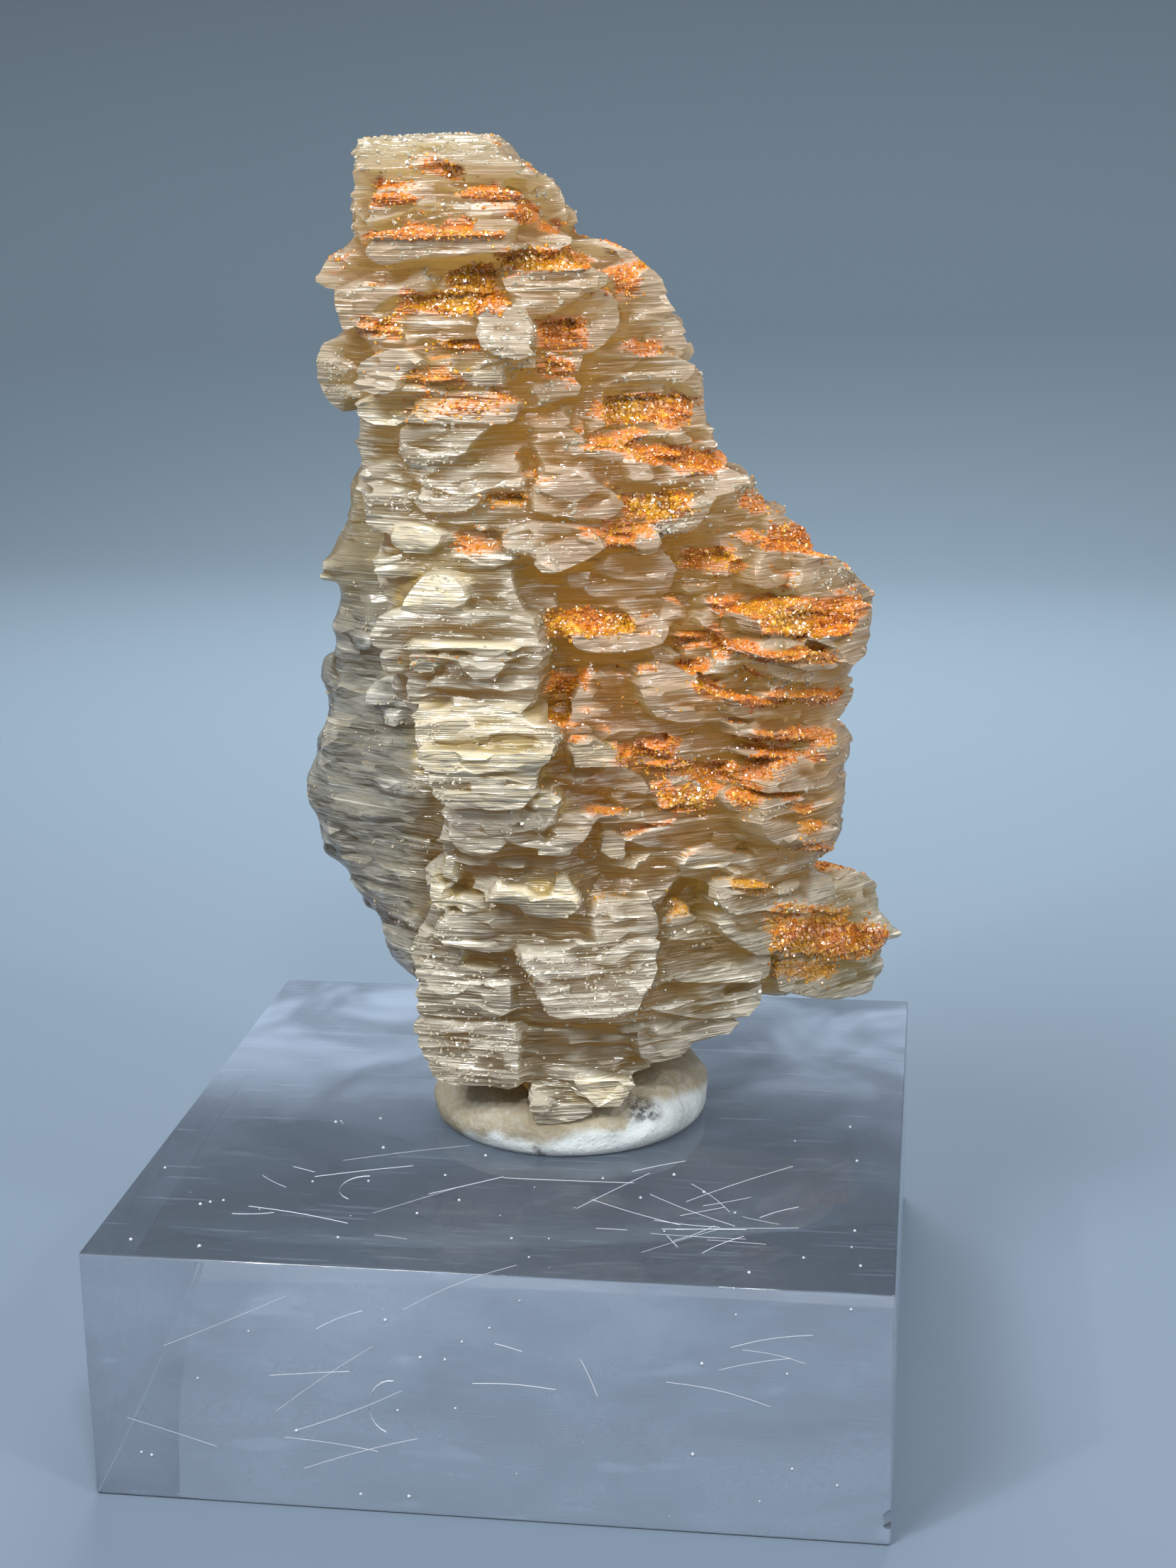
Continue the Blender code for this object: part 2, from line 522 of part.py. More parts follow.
def make_crusts(rng):
    for name, x, y, top, low, half, facing, depth in HOLLOWS:
        if not name:
            continue
        angle = math.radians(facing)
        inset = 1.5
        bm = bmesh.new()
        floor = low + GAP + 0.1 * (top - low)
        thick = min(CRUST_DEPTH, top - floor - 2.0 * GAP)
        add_plate(bm, rng, (x - inset * math.cos(angle), y - inset * math.sin(angle),
                            floor + thick, floor, half - 0.85, facing, "slab"),
                  back=depth - inset - 0.5, rough=0.0)
        new_object(name, bm, (0.85, 0.42, 0.06), 0.3)


def main():
    for item in list(bpy.data.objects):
        bpy.data.objects.remove(item)
    rng = random.Random(SEED)
    make_base()
    make_putty(rng)
    make_cerussite(rng)
    make_crusts(rng)


main()
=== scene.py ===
# Surfaces, grains, light and camera for cerussite with wulfenite on a clear block.
# Lengths in the dictionaries and tables are millimetres, and angles are degrees.
import itertools
import math

import bmesh
import bpy
import numpy as np
from mathutils import Matrix, Vector
from mathutils.bvhtree import BVHTree


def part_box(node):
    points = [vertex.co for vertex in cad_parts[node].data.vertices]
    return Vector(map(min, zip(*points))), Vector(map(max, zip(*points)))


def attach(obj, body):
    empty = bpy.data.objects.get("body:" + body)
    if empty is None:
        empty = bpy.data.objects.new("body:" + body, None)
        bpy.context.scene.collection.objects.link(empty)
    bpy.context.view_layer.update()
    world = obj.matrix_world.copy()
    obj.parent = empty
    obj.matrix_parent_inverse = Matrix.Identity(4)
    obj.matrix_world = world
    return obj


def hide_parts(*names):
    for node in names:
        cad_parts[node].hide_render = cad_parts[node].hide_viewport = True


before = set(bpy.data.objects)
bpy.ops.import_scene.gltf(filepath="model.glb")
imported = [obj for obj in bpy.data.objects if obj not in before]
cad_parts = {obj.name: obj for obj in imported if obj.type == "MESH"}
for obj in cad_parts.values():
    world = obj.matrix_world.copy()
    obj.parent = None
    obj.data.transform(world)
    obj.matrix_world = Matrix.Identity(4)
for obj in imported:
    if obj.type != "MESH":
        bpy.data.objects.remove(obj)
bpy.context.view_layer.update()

mm = 0.001
rng = np.random.RandomState(20)


# Mesh helpers

def say(stage):
    print("stage:", stage)


def shape(name, bm):
    # A mesh in millimetres, until it is finished
    mesh = bpy.data.meshes.new(name)
    bm.to_mesh(mesh)
    bm.free()
    item = bpy.data.objects.new(name, mesh)
    bpy.context.scene.collection.objects.link(item)
    return item


def finished(item, slot, material, *nodes):
    # Real size, material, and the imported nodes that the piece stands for
    item.data.transform(Matrix.Scale(mm, 4))
    item.data.materials.clear()
    item.data.materials.append(material)
    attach(item, "root")
    if nodes:
        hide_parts(*nodes)
    print("piece", item.name, len(item.data.polygons))


def mergedCopy(node):
    # The node's mesh in millimetres, as one connected skin
    bm = bmesh.new()
    bm.from_mesh(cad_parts[node].data)
    bmesh.ops.scale(bm, vec=(1 / mm,) * 3, verts=bm.verts)
    bmesh.ops.remove_doubles(bm, verts=bm.verts, dist=0.002)
    return bm


def settle(item):
    # Writes an object's modifiers into its mesh
    graph = bpy.context.evaluated_depsgraph_get()
    result = bpy.data.meshes.new_from_object(item.evaluated_get(graph))
    item.modifiers.clear()
    old = item.data
    item.data = result
    bpy.data.meshes.remove(old)


def remesh(item, grain):
    joined = item.modifiers.new("joined", "REMESH")
    joined.mode = "VOXEL"
    joined.voxel_size = grain
    settle(item)


def subtract(item, cutter):
    cut = item.modifiers.new("cut", "BOOLEAN")
    cut.operation = "DIFFERENCE"
    cut.solver = "MANIFOLD"
    cut.object = cutter
    settle(item)
    bpy.data.objects.remove(cutter)


def thin(item, triangles, group):
    # Fewer triangles; where the group's weight is high, more of them stay
    count = sum(len(face.vertices) - 2 for face in item.data.polygons)
    if count > triangles:
        fewer = item.modifiers.new("fewer", "DECIMATE")
        fewer.ratio = triangles / count
        fewer.vertex_group = group
        fewer.vertex_group_factor = 2.0
        settle(item)


def soften(item, angle):
    # Smooth shading, with creases where faces meet at more than the angle
    item.data.shade_smooth()
    item.data.set_sharp_from_angle(angle=math.radians(angle))


def keepLargest(item):
    # Drops crumbs that a join or a cut left beside the main body
    bm = bmesh.new()
    bm.from_mesh(item.data)
    left = set(bm.verts)
    bodies = []
    while left:
        body = [left.pop()]
        for vert in body:
            for edge in vert.link_edges:
                other = edge.other_vert(vert)
                if other in left:
                    left.remove(other)
                    body.append(other)
        bodies.append(body)
    bodies.sort(key=len)
    for body in bodies[:-1]:
        bmesh.ops.delete(bm, geom=body, context="VERTS")
    bm.to_mesh(item.data)
    bm.free()


def gather(total, part):
    # Adds a small mesh to a large one
    mesh = bpy.data.meshes.new("part")
    part.to_mesh(mesh)
    part.free()
    total.from_mesh(mesh)
    bpy.data.meshes.remove(mesh)


def readRows(items, name, kind, wide):
    # One value or vector of every element, a row for each
    values = np.zeros(len(items) * wide, kind)
    items.foreach_get(name, values)
    return values.reshape(-1, wide)


def readPoints(mesh):
    return readRows(mesh.vertices, "co", np.float32, 3).astype(float)


def readNormals(mesh):
    return readRows(mesh.vertices, "normal", np.float32, 3).astype(float)


def writePoints(mesh, points):
    mesh.vertices.foreach_set("co", points.astype(np.float32).ravel())
    mesh.update()


def writeMask(mesh, name, values):
    layer = mesh.attributes.new(name, "FLOAT", "POINT")
    layer.data.foreach_set("value", np.clip(values, 0, 1).astype(np.float32))


def stretched(item, factor):
    item.data.transform(Matrix.Diagonal((1, 1, factor, 1)))
    item.data.update()


def swell(item, distance):
    points = readPoints(item.data)
    writePoints(item.data, points + distance * readNormals(item.data))


def ease(low, high, values):
    # 0 below low, 1 above high, smooth between them
    share = np.clip((values - low) / (high - low), 0, 1)
    return share * share * (3 - 2 * share)


def softNoise(points, size, seed):
    # Smooth random values from -1 to 1 with features of about that size
    table = np.random.RandomState(seed).uniform(-1, 1, (32, 32, 32))
    places = points / np.asarray(size, float)
    cells = np.floor(places).astype(int)
    share = places - cells
    share = share * share * (3 - 2 * share)
    total = np.zeros(len(points))
    for corner in itertools.product((0, 1), repeat=3):
        weight = np.prod(np.where(corner, share, 1 - share), axis=1)
        index = (cells + corner) % 32
        total += weight * table[index[:, 0], index[:, 1], index[:, 2]]
    return total


def bulge(mesh, points, rounds):
    # How far each point stands out from its smoothed surroundings, along its normal
    edges = readRows(mesh.edges, "vertices", np.int32, 2)
    count = np.bincount(edges.ravel(), minlength=len(points))[:, None]
    smooth = points.copy()
    for _ in range(rounds):
        total = np.zeros_like(smooth)
        for axis in range(3):
            total[:, axis] += np.bincount(edges[:, 0], smooth[edges[:, 1], axis], len(points))
            total[:, axis] += np.bincount(edges[:, 1], smooth[edges[:, 0], axis], len(points))
        smooth = 0.5 * smooth + 0.5 * total / count
    return np.sum((points - smooth) * readNormals(mesh), axis=1)


# Shader helpers

class Sock:
    # A socket that takes part in Python expressions
    def __init__(self, nodes, socket):
        self.nodes = nodes
        self.socket = socket

    def math(self, operation, other, swap=False):
        pair = (other, self) if swap else (self, other)
        return self.nodes.make("ShaderNodeMath", {"operation": operation}, dict(enumerate(pair)))

    def __add__(self, other): return self.math("ADD", other)
    def __radd__(self, other): return self.math("ADD", other)
    def __sub__(self, other): return self.math("SUBTRACT", other)
    def __rsub__(self, other): return self.math("SUBTRACT", other, True)
    def __mul__(self, other): return self.math("MULTIPLY", other)
    def __rmul__(self, other): return self.math("MULTIPLY", other)

    def other(self, index):
        # Another output of the same node
        return Sock(self.nodes, self.socket.node.outputs[index])


class Nodes:
    # One material's node tree
    def __init__(self, name):
        self.material = bpy.data.materials.new(name)
        self.material.use_nodes = True
        self.tree = self.material.node_tree
        self.tree.nodes.clear()
        self.end = self.tree.nodes.new("ShaderNodeOutputMaterial")

    def make(self, kind, settings=None, inputs=None, output=0):
        node = self.tree.nodes.new(kind)
        for key, value in (settings or {}).items():
            setattr(node, key, value)
        for key, value in (inputs or {}).items():
            self.feed(node.inputs[key], value)
        return Sock(self, node.outputs[output])

    def feed(self, target, value):
        if isinstance(value, Sock):
            self.tree.links.new(value.socket, target)
        elif hasattr(value, "__len__") and len(value) == 3 and target.type == "RGBA":
            target.default_value = (*value, 1)
        else:
            target.default_value = value

    def place(self, scale=(1, 1, 1), turn=(0, 0, 0)):
        # Object coordinates in millimetres
        source = self.make("ShaderNodeTexCoord", output=3)
        return self.make("ShaderNodeMapping", {}, {
            "Vector": source, "Scale": tuple(s / mm for s in scale),
            "Rotation": tuple(math.radians(t) for t in turn)})

    def noise(self, vector, scale, detail=3.0, rough=0.55, twist=0.0):
        return self.make("ShaderNodeTexNoise", {}, {
            "Vector": vector, "Scale": scale, "Detail": detail, "Roughness": rough, "Distortion": twist})

    def ramp(self, value, low, high, first=0.0, last=1.0):
        return self.make("ShaderNodeMapRange", {"interpolation_type": "SMOOTHSTEP"}, {
            "Value": value, "From Min": low, "From Max": high, "To Min": first, "To Max": last})

    def vector(self, operation, first, second, output=0):
        return self.make("ShaderNodeVectorMath", {"operation": operation}, {0: first, 1: second}, output)

    def axis(self, vector, index):
        return self.make("ShaderNodeSeparateXYZ", {}, {"Vector": vector}, index)

    def mix(self, share, first, second):
        return self.make("ShaderNodeMix", {"data_type": "RGBA"}, {0: share, 6: first, 7: second}, 2)

    def masks(self, names):
        return (self.make("ShaderNodeAttribute", {"attribute_name": name}, output=2)
                for name in names.split())

    def bump(self, height, depth, strength):
        return self.make("ShaderNodeBump", {}, {
            "Height": height, "Distance": depth * mm, "Strength": strength})

    def principled(self, **inputs):
        return self.make("ShaderNodeBsdfPrincipled", {}, {
            key.replace("_", " "): value for key, value in inputs.items()})

    def blendShaders(self, share, first, second):
        return self.make("ShaderNodeMixShader", {}, {0: share, 1: first, 2: second})

    def finish(self, surface, volume=None):
        self.tree.links.new(surface.socket, self.end.inputs["Surface"])
        if volume:
            self.tree.links.new(volume.socket, self.end.inputs["Volume"])
        return self.material


def tint(red, green, blue):
    # Screen colour, 0 to 255, as linear light
    return tuple(((part / 255 + 0.055) / 1.055) ** 2.4 for part in (red, green, blue))


# Camera at the photograph's place

view = {
    "photoHigh": 2212,        # pixels
    "focalPixels": 3429,
    "sensor": 36,
    "turn": 8.32, "rise": 15.17, "roll": -0.86,
    "distance": 124.5,
    "aim": (2.70, 0.0, 30.88),
}


def makeCamera():
    turn, rise, roll = (math.radians(view[key]) for key in ("turn", "rise", "roll"))
    back = Vector((math.sin(turn) * math.cos(rise), -math.cos(turn) * math.cos(rise), math.sin(rise)))
    right = (-back).cross(Vector((0, 0, 1))).normalized()
    up = right.cross(-back)
    across = right * math.cos(roll) + up * math.sin(roll)
    upward = up * math.cos(roll) - right * math.sin(roll)
    lens = bpy.data.cameras.new("camera")
    lens.sensor_width = view["sensor"]
    lens.lens = view["focalPixels"] / view["photoHigh"] * view["sensor"]
    lens.clip_start = mm
    camera = bpy.data.objects.new("camera", lens)
    turned = Matrix((across, upward, back)).transposed().to_4x4()
    turned.translation = (Vector(view["aim"]) + back * view["distance"]) * mm
    camera.matrix_world = turned
    bpy.context.scene.collection.objects.link(camera)
    bpy.context.scene.camera = camera
    return turned


cameraPlace = makeCamera()
eye = cameraPlace.translation / mm
say("camera")


# Cerussite: upright blades built of flat-fronted plates

crystal = {
    "skin": 0.16,             # size of the cells in which shells are joined
    "stretch": 1.7,           # heights are stretched by this while shells are joined, for finer layers
    "coreSkin": 0.3,
    "fill": 0.85,             # grooves of the solid narrower than twice this are filled
    "sink": 0.3,              # how far the filled core lies behind the plates' fronts
    "readPlane": -7.0,        # upright plane y on which outlines and patches are read
    "facingAcross": ((-9, 248), (-5, 257), (-2, 268), (2, 280), (6, 292), (10, 304), (14, 320)),
    "rimWide": 0.08,          # raised rim round each plate
    "rimHigh": 0.06,
    "triangles": 196000,
}

# Fine relief: level layers, flat flakes and roughness
relief = {
    "bands": (0.2, 0.55),     # thinnest and thickest
    "bandDepth": 0.09,
    "flakeHigh": 0.36,
    "flakeWide": (0.7, 1.1),  # narrowest, and how much wider the widest is
    "flakeDepth": 0.09,
    "rough": (0.5, 0.5, 0.35),
    "roughDepth": 0.035,
    "calm": 0.7,              # share that the glassy left rear blade loses
}

# How the plates that the photograph shows are set; "unlike" is how much their places vary
traced = {
    "proud": {"back": -0.1, "plain": 0.3, "lobes": 0.75},
    "lean": {"back": (-0.1, 0.2), "plain": (-0.1, 0.35), "lobes": (0.0, 0.35)},
    "unlike": 0.12,
    "depth": 2.6,
    "rounding": 0.08,
}

# Seeded plates on every side
seeded = {
    "count": 900,
    "heights": (15.5, 62.5),
    "foot": (1.2, 0.5, 13.7),
    "axisLean": 3.4,          # the group's axis leans this far to the left over this rise
    "axisRise": 50,
    "away": 40, "aside": 9,   # where the level lines start
    "steepest": 0.75,
    "near": 0.5,              # a spot this near to what the camera meets is seen
    "spared": 0.6,            # share of the seen spots that stay as they are
    "seenSize": 0.6,
    "turn": 12,
    "half": (0.6, 2.1), "tall": (0.45, 1.7),
    "lean": (-0.15, 0.45),
    "proud": (0.1, 0.55),
    "ragged": (0.08, 0.07),
    "support": 1.9,           # every corner has the core within this depth behind it
    "depth": 1.6,
    "rounding": 0.12,
    "bladeRight": -4.3, "bladeTop": 50, "bladeFacing": (-0.2, 0.8),
}

# Thin shelves along the rows of dust
ledges = {
    "shortest": 1.5,
    "highest": 0.75,
    "points": 7,
    "wave": 0.07,
    "lean": 0.1,
    "thick": 0.34,
    "proud": 0.35,
    "depth": 1.8,
    "rounding": 0.04,
}

# Outline of each form of plate: lateral place and height, as shares of its half width and height
outlines = {
    "bowl": ((-0.96, 1.0), (-1.0, 0.72), (-0.9, 0.4), (-0.66, 0.12), (-0.3, 0.0), (0.3, 0.02), (0.68, 0.16),
             (0.92, 0.46), (1.0, 0.8), (0.9, 1.0), (0.4, 0.97), (-0.1, 1.04), (-0.5, 0.98)),
    "dome": ((-1.0, 0.3), (-0.94, 0.06), (-0.4, 0.0), (0.2, 0.05), (0.8, 0.0), (1.0, 0.2), (0.94, 0.55),
             (0.72, 0.84), (0.3, 1.0), (-0.28, 0.98), (-0.66, 0.8), (-0.9, 0.56)),
    "lens": ((-1.0, 0.5), (-0.84, 0.2), (-0.44, 0.02), (0.1, 0.0), (0.6, 0.12), (0.95, 0.36), (1.0, 0.6),
             (0.76, 0.86), (0.3, 1.0), (-0.3, 0.97), (-0.78, 0.82)),
    "slab": ((-1.0, 0.86), (-0.97, 0.2), (-0.86, 0.02), (-0.3, 0.05), (0.3, 0.0), (0.86, 0.04), (1.0, 0.24),
             (0.96, 0.82), (0.84, 0.99), (0.4, 0.95), (-0.1, 1.0), (-0.6, 0.96)),
}

# Plates that the photograph shows: x and z of each corner in turn, in order round the plate, as seen
# on the read plane
platesSeen = {"back": (
    (-6.5, 63, -4.6, 63.1, -2, 63.15, -0.6, 63.05, 0, 62.6, 0.25, 62.1, 0.2, 60.5, -6, 58.4, -6.8, 58.4,
     -6.85, 60.5),
    (-8.9, 53, -8.4, 53.9, -7.5, 54.2, -6.4, 54.1, -5.7, 53.6, -6.6, 53.2, -7.2, 52.5, -7.5, 51.5, -7.6, 50.5,
     -8.4, 51.2, -8.9, 52.2),
    (3.5, 58.4, 4.4, 58.5, 5.2, 58.3, 6.2, 57.8, 6.7, 57.3, 5, 57.3, 4.4, 57.2, 3.4, 57.4),
    (10.1, 48.1, 10.9, 48, 11.4, 47.5, 12, 46.8, 12.3, 46.1, 12, 45.6, 10.7, 45.5, 9.9, 45.6, 10.1, 46.6),
    (12.4, 45.8, 13.2, 45.9, 13.9, 45.4, 14.4, 44.8, 14.4, 44.3, 13, 44.4, 12.3, 45),
    (5, 50, 6.6, 50, 8, 50.2, 8.3, 49.7, 7.9, 49.2, 6.2, 49.1, 5, 49.6),
    (14, 44.1, 15.5, 43.95, 16, 43.7, 16.6, 43, 17, 42.6, 17.3, 42.3, 17.3, 41.8, 16.9, 41.7, 16, 42.1, 14,
     42.1, 13.6, 42.5, 13.9, 43.2),
    (11.7, 41.9, 12, 42.2, 13.6, 42.2, 13.8, 41.8, 13.6, 41.3, 12.2, 41.1, 11.8, 41.4),
    (12.5, 37.9, 14.3, 37.9, 15.5, 38.1, 16.5, 38.3, 16.3, 37.2, 15.8, 36.3, 15, 36.1, 13.8, 36.9, 12.8,
     37.1),
    (0.2, 20.9, 1.2, 20.9, 3.6, 20.6, 5.6, 20.9, 6.4, 20.4, 6.8, 19.4, 6.7, 18.3, 5.5, 17.9, 3, 17.4, 1, 17,
     0.1, 17.4),
    (-4.3, 17.3, -3.9, 17.1, -0.2, 16.7, 0.6, 16.9, 0.6, 15.5, 0.9, 14.8, 0, 14.2, -3.6, 14.4, -3.9, 15.5,
     -4.2, 16.6),
    (7.9, 28.3, 8.4, 28.6, 9.9, 28.5, 10, 28.1, 9.9, 27, 8.9, 26.9, 8.2, 26.4, 7.6, 26.4, 7.7, 27.2),
    (15.7, 28.4, 16.2, 28.9, 17, 28.7, 17.7, 28.2, 17.8, 27.2, 17.7, 26.8, 16, 26.5, 14.6, 26.7, 15.3, 27.3),
    (14, 26.1, 16, 26.3, 18, 26, 18.3, 25.6, 18.2, 25.1, 16.2, 24.7, 12.9, 24.2, 13.6, 25.3),
    (12.7, 24, 16, 24.6, 18, 25, 18, 24, 17.4, 22.6, 16, 22.2, 14.8, 22.2, 12.9, 22.6),
), "plain": (
    (-6.5, 63, -5, 63.1, -2.5, 63.15, -0.7, 63.05, -0.05, 62.6, 0.25, 62.1, 1.1, 61.8, 0.9, 61.5, -1.6, 61.7,
     -2.6, 61.9, -4.5, 61.6, -6.6, 61.6),
    (-5.3, 61.5, -3.9, 61.8, -2.9, 61.75, -2.4, 61.4, -2.3, 61.1, -3.4, 61, -5.2, 61),
    (-1.6, 61.9, 0.2, 62, 1.3, 61.7, 1.9, 61.2, 1, 61.2, -1.5, 61.3),
    (1.2, 61.3, 2, 61.4, 2.6, 61.1, 2.9, 60.6, 3.2, 60, 3.3, 59.3, 3, 59, 2.2, 59.6, 1.2, 60, 1, 60.6),
    (-5.7, 60.75, -4, 60.9, -2.3, 60.9, -1.6, 60.8, -0.2, 60.7, 0.9, 60.5, 0.8, 60.2, -1.2, 60.3, -2.8, 60.4,
     -4, 60.35, -5.8, 60.2),
    (-6.1, 60.05, -5, 60.2, -3.6, 60.45, -2.6, 60.45, -1.4, 60.3, -0.3, 60.1, 0.9, 60, 1, 59.4, 0.3, 58.7,
     -1.5, 59, -3.2, 59, -5, 59, -6.2, 59),
    (-1.4, 59.9, 0.8, 59.85, 0.9, 59.5, -1.4, 59.45),
    (-1.3, 59.2, 0.9, 59.2, 0.8, 58.5, 0.2, 58.4, -1.2, 58.75),
    (1.1, 58.5, 2.5, 58.7, 3.3, 58.6, 3.5, 58.3, 2.6, 57.9, 1.8, 57.7, 1, 57.9),
    (-8.6, 57, -8.3, 57.5, -7.4, 57.7, -6.6, 58.1, -6.3, 57.9, -6.2, 57.5, -5.7, 57.2, -6.2, 56.9, -7, 56.6,
     -7.7, 56.2, -8.2, 56.3, -8.6, 56.6),
    (-7.7, 56.3, -6.9, 56.6, -6, 57, -5, 57, -4.2, 57.05, -3.4, 57.1, -3.3, 56.4, -3.5, 56.1, -5, 55.9, -5.6,
     55.3, -7.8, 55.3, -7.95, 55.8),
    (-7.9, 55.5, -6.2, 55.2, -5.4, 55, -5.6, 54.9, -6.5, 54.9, -7.1, 54.5, -7.4, 54.3, -7.8, 54.8),
    (-3.4, 56.9, -2.8, 57, -2.2, 56.9, -1.5, 56.5, -1.2, 56.2, -2, 56, -3, 56, -3.4, 56.3),
    (-5, 54.8, -4.5, 54.9, -3, 54.9, -1.4, 54.9, -1.1, 54.6, -1.2, 54.1, -1.6, 54, -3.1, 53.9, -4.2, 53.8,
     -5.6, 53.6, -6.4, 54, -5.2, 54.3),
    (-4, 52.9, -2.7, 53.2, -1.5, 53.3, -0.5, 53.2, 0, 52.9, 0.1, 52.3, 0.05, 51.7, -0.5, 51.9, -1.5, 51.8, -3,
     51.8, -4.3, 51.9, -4.6, 52.1, -4.3, 52.5),
    (1.6, 55, 2.8, 55.2, 3.4, 55.6, 4, 55.9, 5, 56.2, 5.4, 55.7, 5.6, 55, 5.3, 54.3, 4.8, 53.7, 4.2, 53.3, 3,
     53.1, 2.1, 53.1, 1.5, 53.7, 1.5, 54.6),
    (1.8, 53.1, 2.8, 53.1, 3.9, 53, 3.8, 52.6, 3.3, 52.3, 2.6, 52.4, 1.9, 52.8),
    (0.1, 53.1, 1.5, 53, 1.6, 52.6, 0.1, 52.7),
    (1.6, 52, 2.6, 52.2, 3.4, 52.2, 3.7, 51.8, 3.6, 51.4, 2.6, 51.2, 1.6, 51.2, 1.3, 51.6),
    (5.3, 56, 5.6, 56.5, 6.3, 57, 7, 57.2, 7.5, 56.6, 7.8, 55.8, 8.2, 55.2, 7.3, 55.1, 6.3, 55.1, 5.6, 55.4),
    (5.4, 54.9, 6.5, 55, 7.8, 55.2, 8.4, 54.6, 8.65, 53.9, 8.55, 53.4, 8.2, 53, 7.4, 53.4, 6.3, 53.9, 5.6,
     54.3),
    (5.6, 53.6, 6.2, 53.8, 7, 53.3, 7.8, 53.3, 9, 52.8, 9.3, 52.2, 9.4, 51.2, 8.9, 51.5, 8.6, 51.9, 7.4, 52,
     6.2, 52.1, 5.2, 51.8, 4.7, 52.2, 5, 53),
    (3.9, 52.4, 4.6, 52.9, 5, 52, 4.7, 51.3, 4.9, 50, 4, 49.6, 3.8, 50.8),
    (8.7, 52.5, 9.3, 52.3, 9.5, 51, 9.7, 50, 10, 48.9, 9.3, 48.9, 8.8, 50.2, 9, 51),
    (-7.1, 50.8, -6.9, 51.2, -5.6, 51.4, -5, 51.4, -4.4, 50.9, -4.6, 50.6, -4.9, 50, -5.2, 49.9, -6.2, 50, -7,
     50.4),
    (-4.9, 50.1, -4.2, 50.7, -3.8, 51.3, -2.6, 51.6, -1.6, 51.75, -0.8, 51.7, 0.1, 51.3, 0.8, 50.9, 0.6, 50.3,
     0.1, 50, -1.5, 50.05, -4, 50.1),
    (-5, 49.7, -4.5, 50, -2, 50, -0.6, 49.9, -1.3, 49.4, -1.9, 48.6, -2.4, 48.2, -3.3, 48.2, -4.6, 48.1, -5,
     48.6),
    (-6.9, 47.7, -6.6, 48.1, -5.9, 48.3, -5, 48.4, -4.3, 48, -4.2, 47.6, -4.8, 47.2, -4.9, 46.8, -6, 46.8,
     -6.8, 47.3),
    (-4.1, 47.5, -3.6, 47.8, -2.2, 47.9, -1.5, 47.6, -0.9, 46.9, -1.4, 46.2, -2.2, 45.9, -4, 45.9, -4.4, 46.4,
     -4.1, 46.9),
    (-1.4, 49.2, -0.3, 49.7, 0.9, 49.5, 0.6, 48.6, 1, 47.3, 0.7, 46.9, -0.8, 46.9, -1.3, 47.6, -1.2, 48.2),
    (-6.7, 46.8, -4.6, 46.8, -4.2, 46.6, -4.6, 45.8, -5, 45.5, -5.5, 45, -6.7, 44.9, -6.8, 45.6),
    (-3.4, 45.9, -2, 46.1, -0.6, 46.1, -0.3, 45.8, -0.9, 45.4, -2, 45.3, -3.4, 45.4),
    (-5.5, 45.1, -5, 45.4, -3.6, 45.2, -3, 44.8, -3.3, 44.3, -3.8, 43.9, -4.9, 43.9, -5.6, 44.4),
    (-6.6, 43.9, -6.5, 43.6, -5, 43.9, -3.3, 43.9, -1.5, 44, 0.3, 44, 0.4, 43.6, -1, 43.2, -2.4, 43.1, -3.6,
     43, -5.5, 42.7, -6.4, 42.8),
    (-2.3, 43.2, -1, 43.4, 0.2, 43.3, 0.3, 42.7, 0.4, 42, 0.8, 41.3, -0.2, 41.2, -1.5, 41.2, -2, 41.8, -2.1,
     42.5),
    (1.6, 50, 2.8, 50, 3.6, 49.6, 3.8, 49.2, 3.7, 48.3, 3, 48, 1.8, 48.1, 1.4, 49),
    (1.9, 48, 3.2, 48.1, 3.9, 47.9, 4.4, 47.4, 5.2, 46.9, 5.6, 46.4, 5.4, 45.9, 4.8, 45.6, 3.5, 45.6, 2.2,
     45.8, 1.2, 46, 1.4, 47.2),
    (-0.4, 44.6, 0.2, 45.2, 1.2, 45.5, 2.6, 45.4, 3.6, 45.3, 4.2, 44.9, 2.6, 44.3, 1.6, 43.9, 0.4, 43.9, -0.1,
     44.2),
    (3.8, 49.2, 5, 49.1, 6.2, 48.8, 7.2, 48.3, 8.6, 48.1, 9.9, 47.9, 10.05, 47.3, 9.9, 46.6, 8.6, 46.8, 7,
     47.2, 5.7, 47.3, 4.9, 47.2, 4.2, 47.7, 3.9, 48.3),
    (5.6, 48.2, 6.1, 48.6, 6.6, 48.4, 7.2, 47.8, 6.9, 47.4, 5.9, 47.4),
    (5, 45.3, 6, 45.6, 7.2, 45.6, 7.3, 45.1, 6.2, 45, 5, 45.1, 4.6, 45.4),
    (4.7, 44.9, 6, 45, 7.1, 44.9, 7.2, 44.4, 6.7, 44, 6.2, 44.1, 5.9, 44.5, 4.9, 44.4),
    (4.2, 43.2, 5, 44, 6, 44.2, 7.4, 44.2, 7.9, 43.8, 8.1, 43.3, 7.9, 42.6, 6.5, 42.6, 5.2, 42.8),
    (3.75, 42.25, 3.9, 42.45, 5.5, 42.6, 7.2, 42.7, 7.9, 42.6, 7.6, 42.1, 6, 41.95, 4.3, 41.9, 3.9, 42),
    (5.2, 41.7, 6.6, 41.9, 8.1, 42, 8.4, 41.5, 8.3, 41, 7.8, 40.6, 6.5, 40.4, 6, 40.2, 6.1, 40.9, 5.6, 41.3),
    (0.8, 42, 2.3, 41.9, 2.4, 41.4, 2, 41, 1.3, 40.9, 0.7, 41.4),
    (8.4, 42.6, 9.5, 42.7, 10.3, 43.3, 10.1, 42.9, 9.9, 42.4, 9, 42.2, 8.5, 42.2),
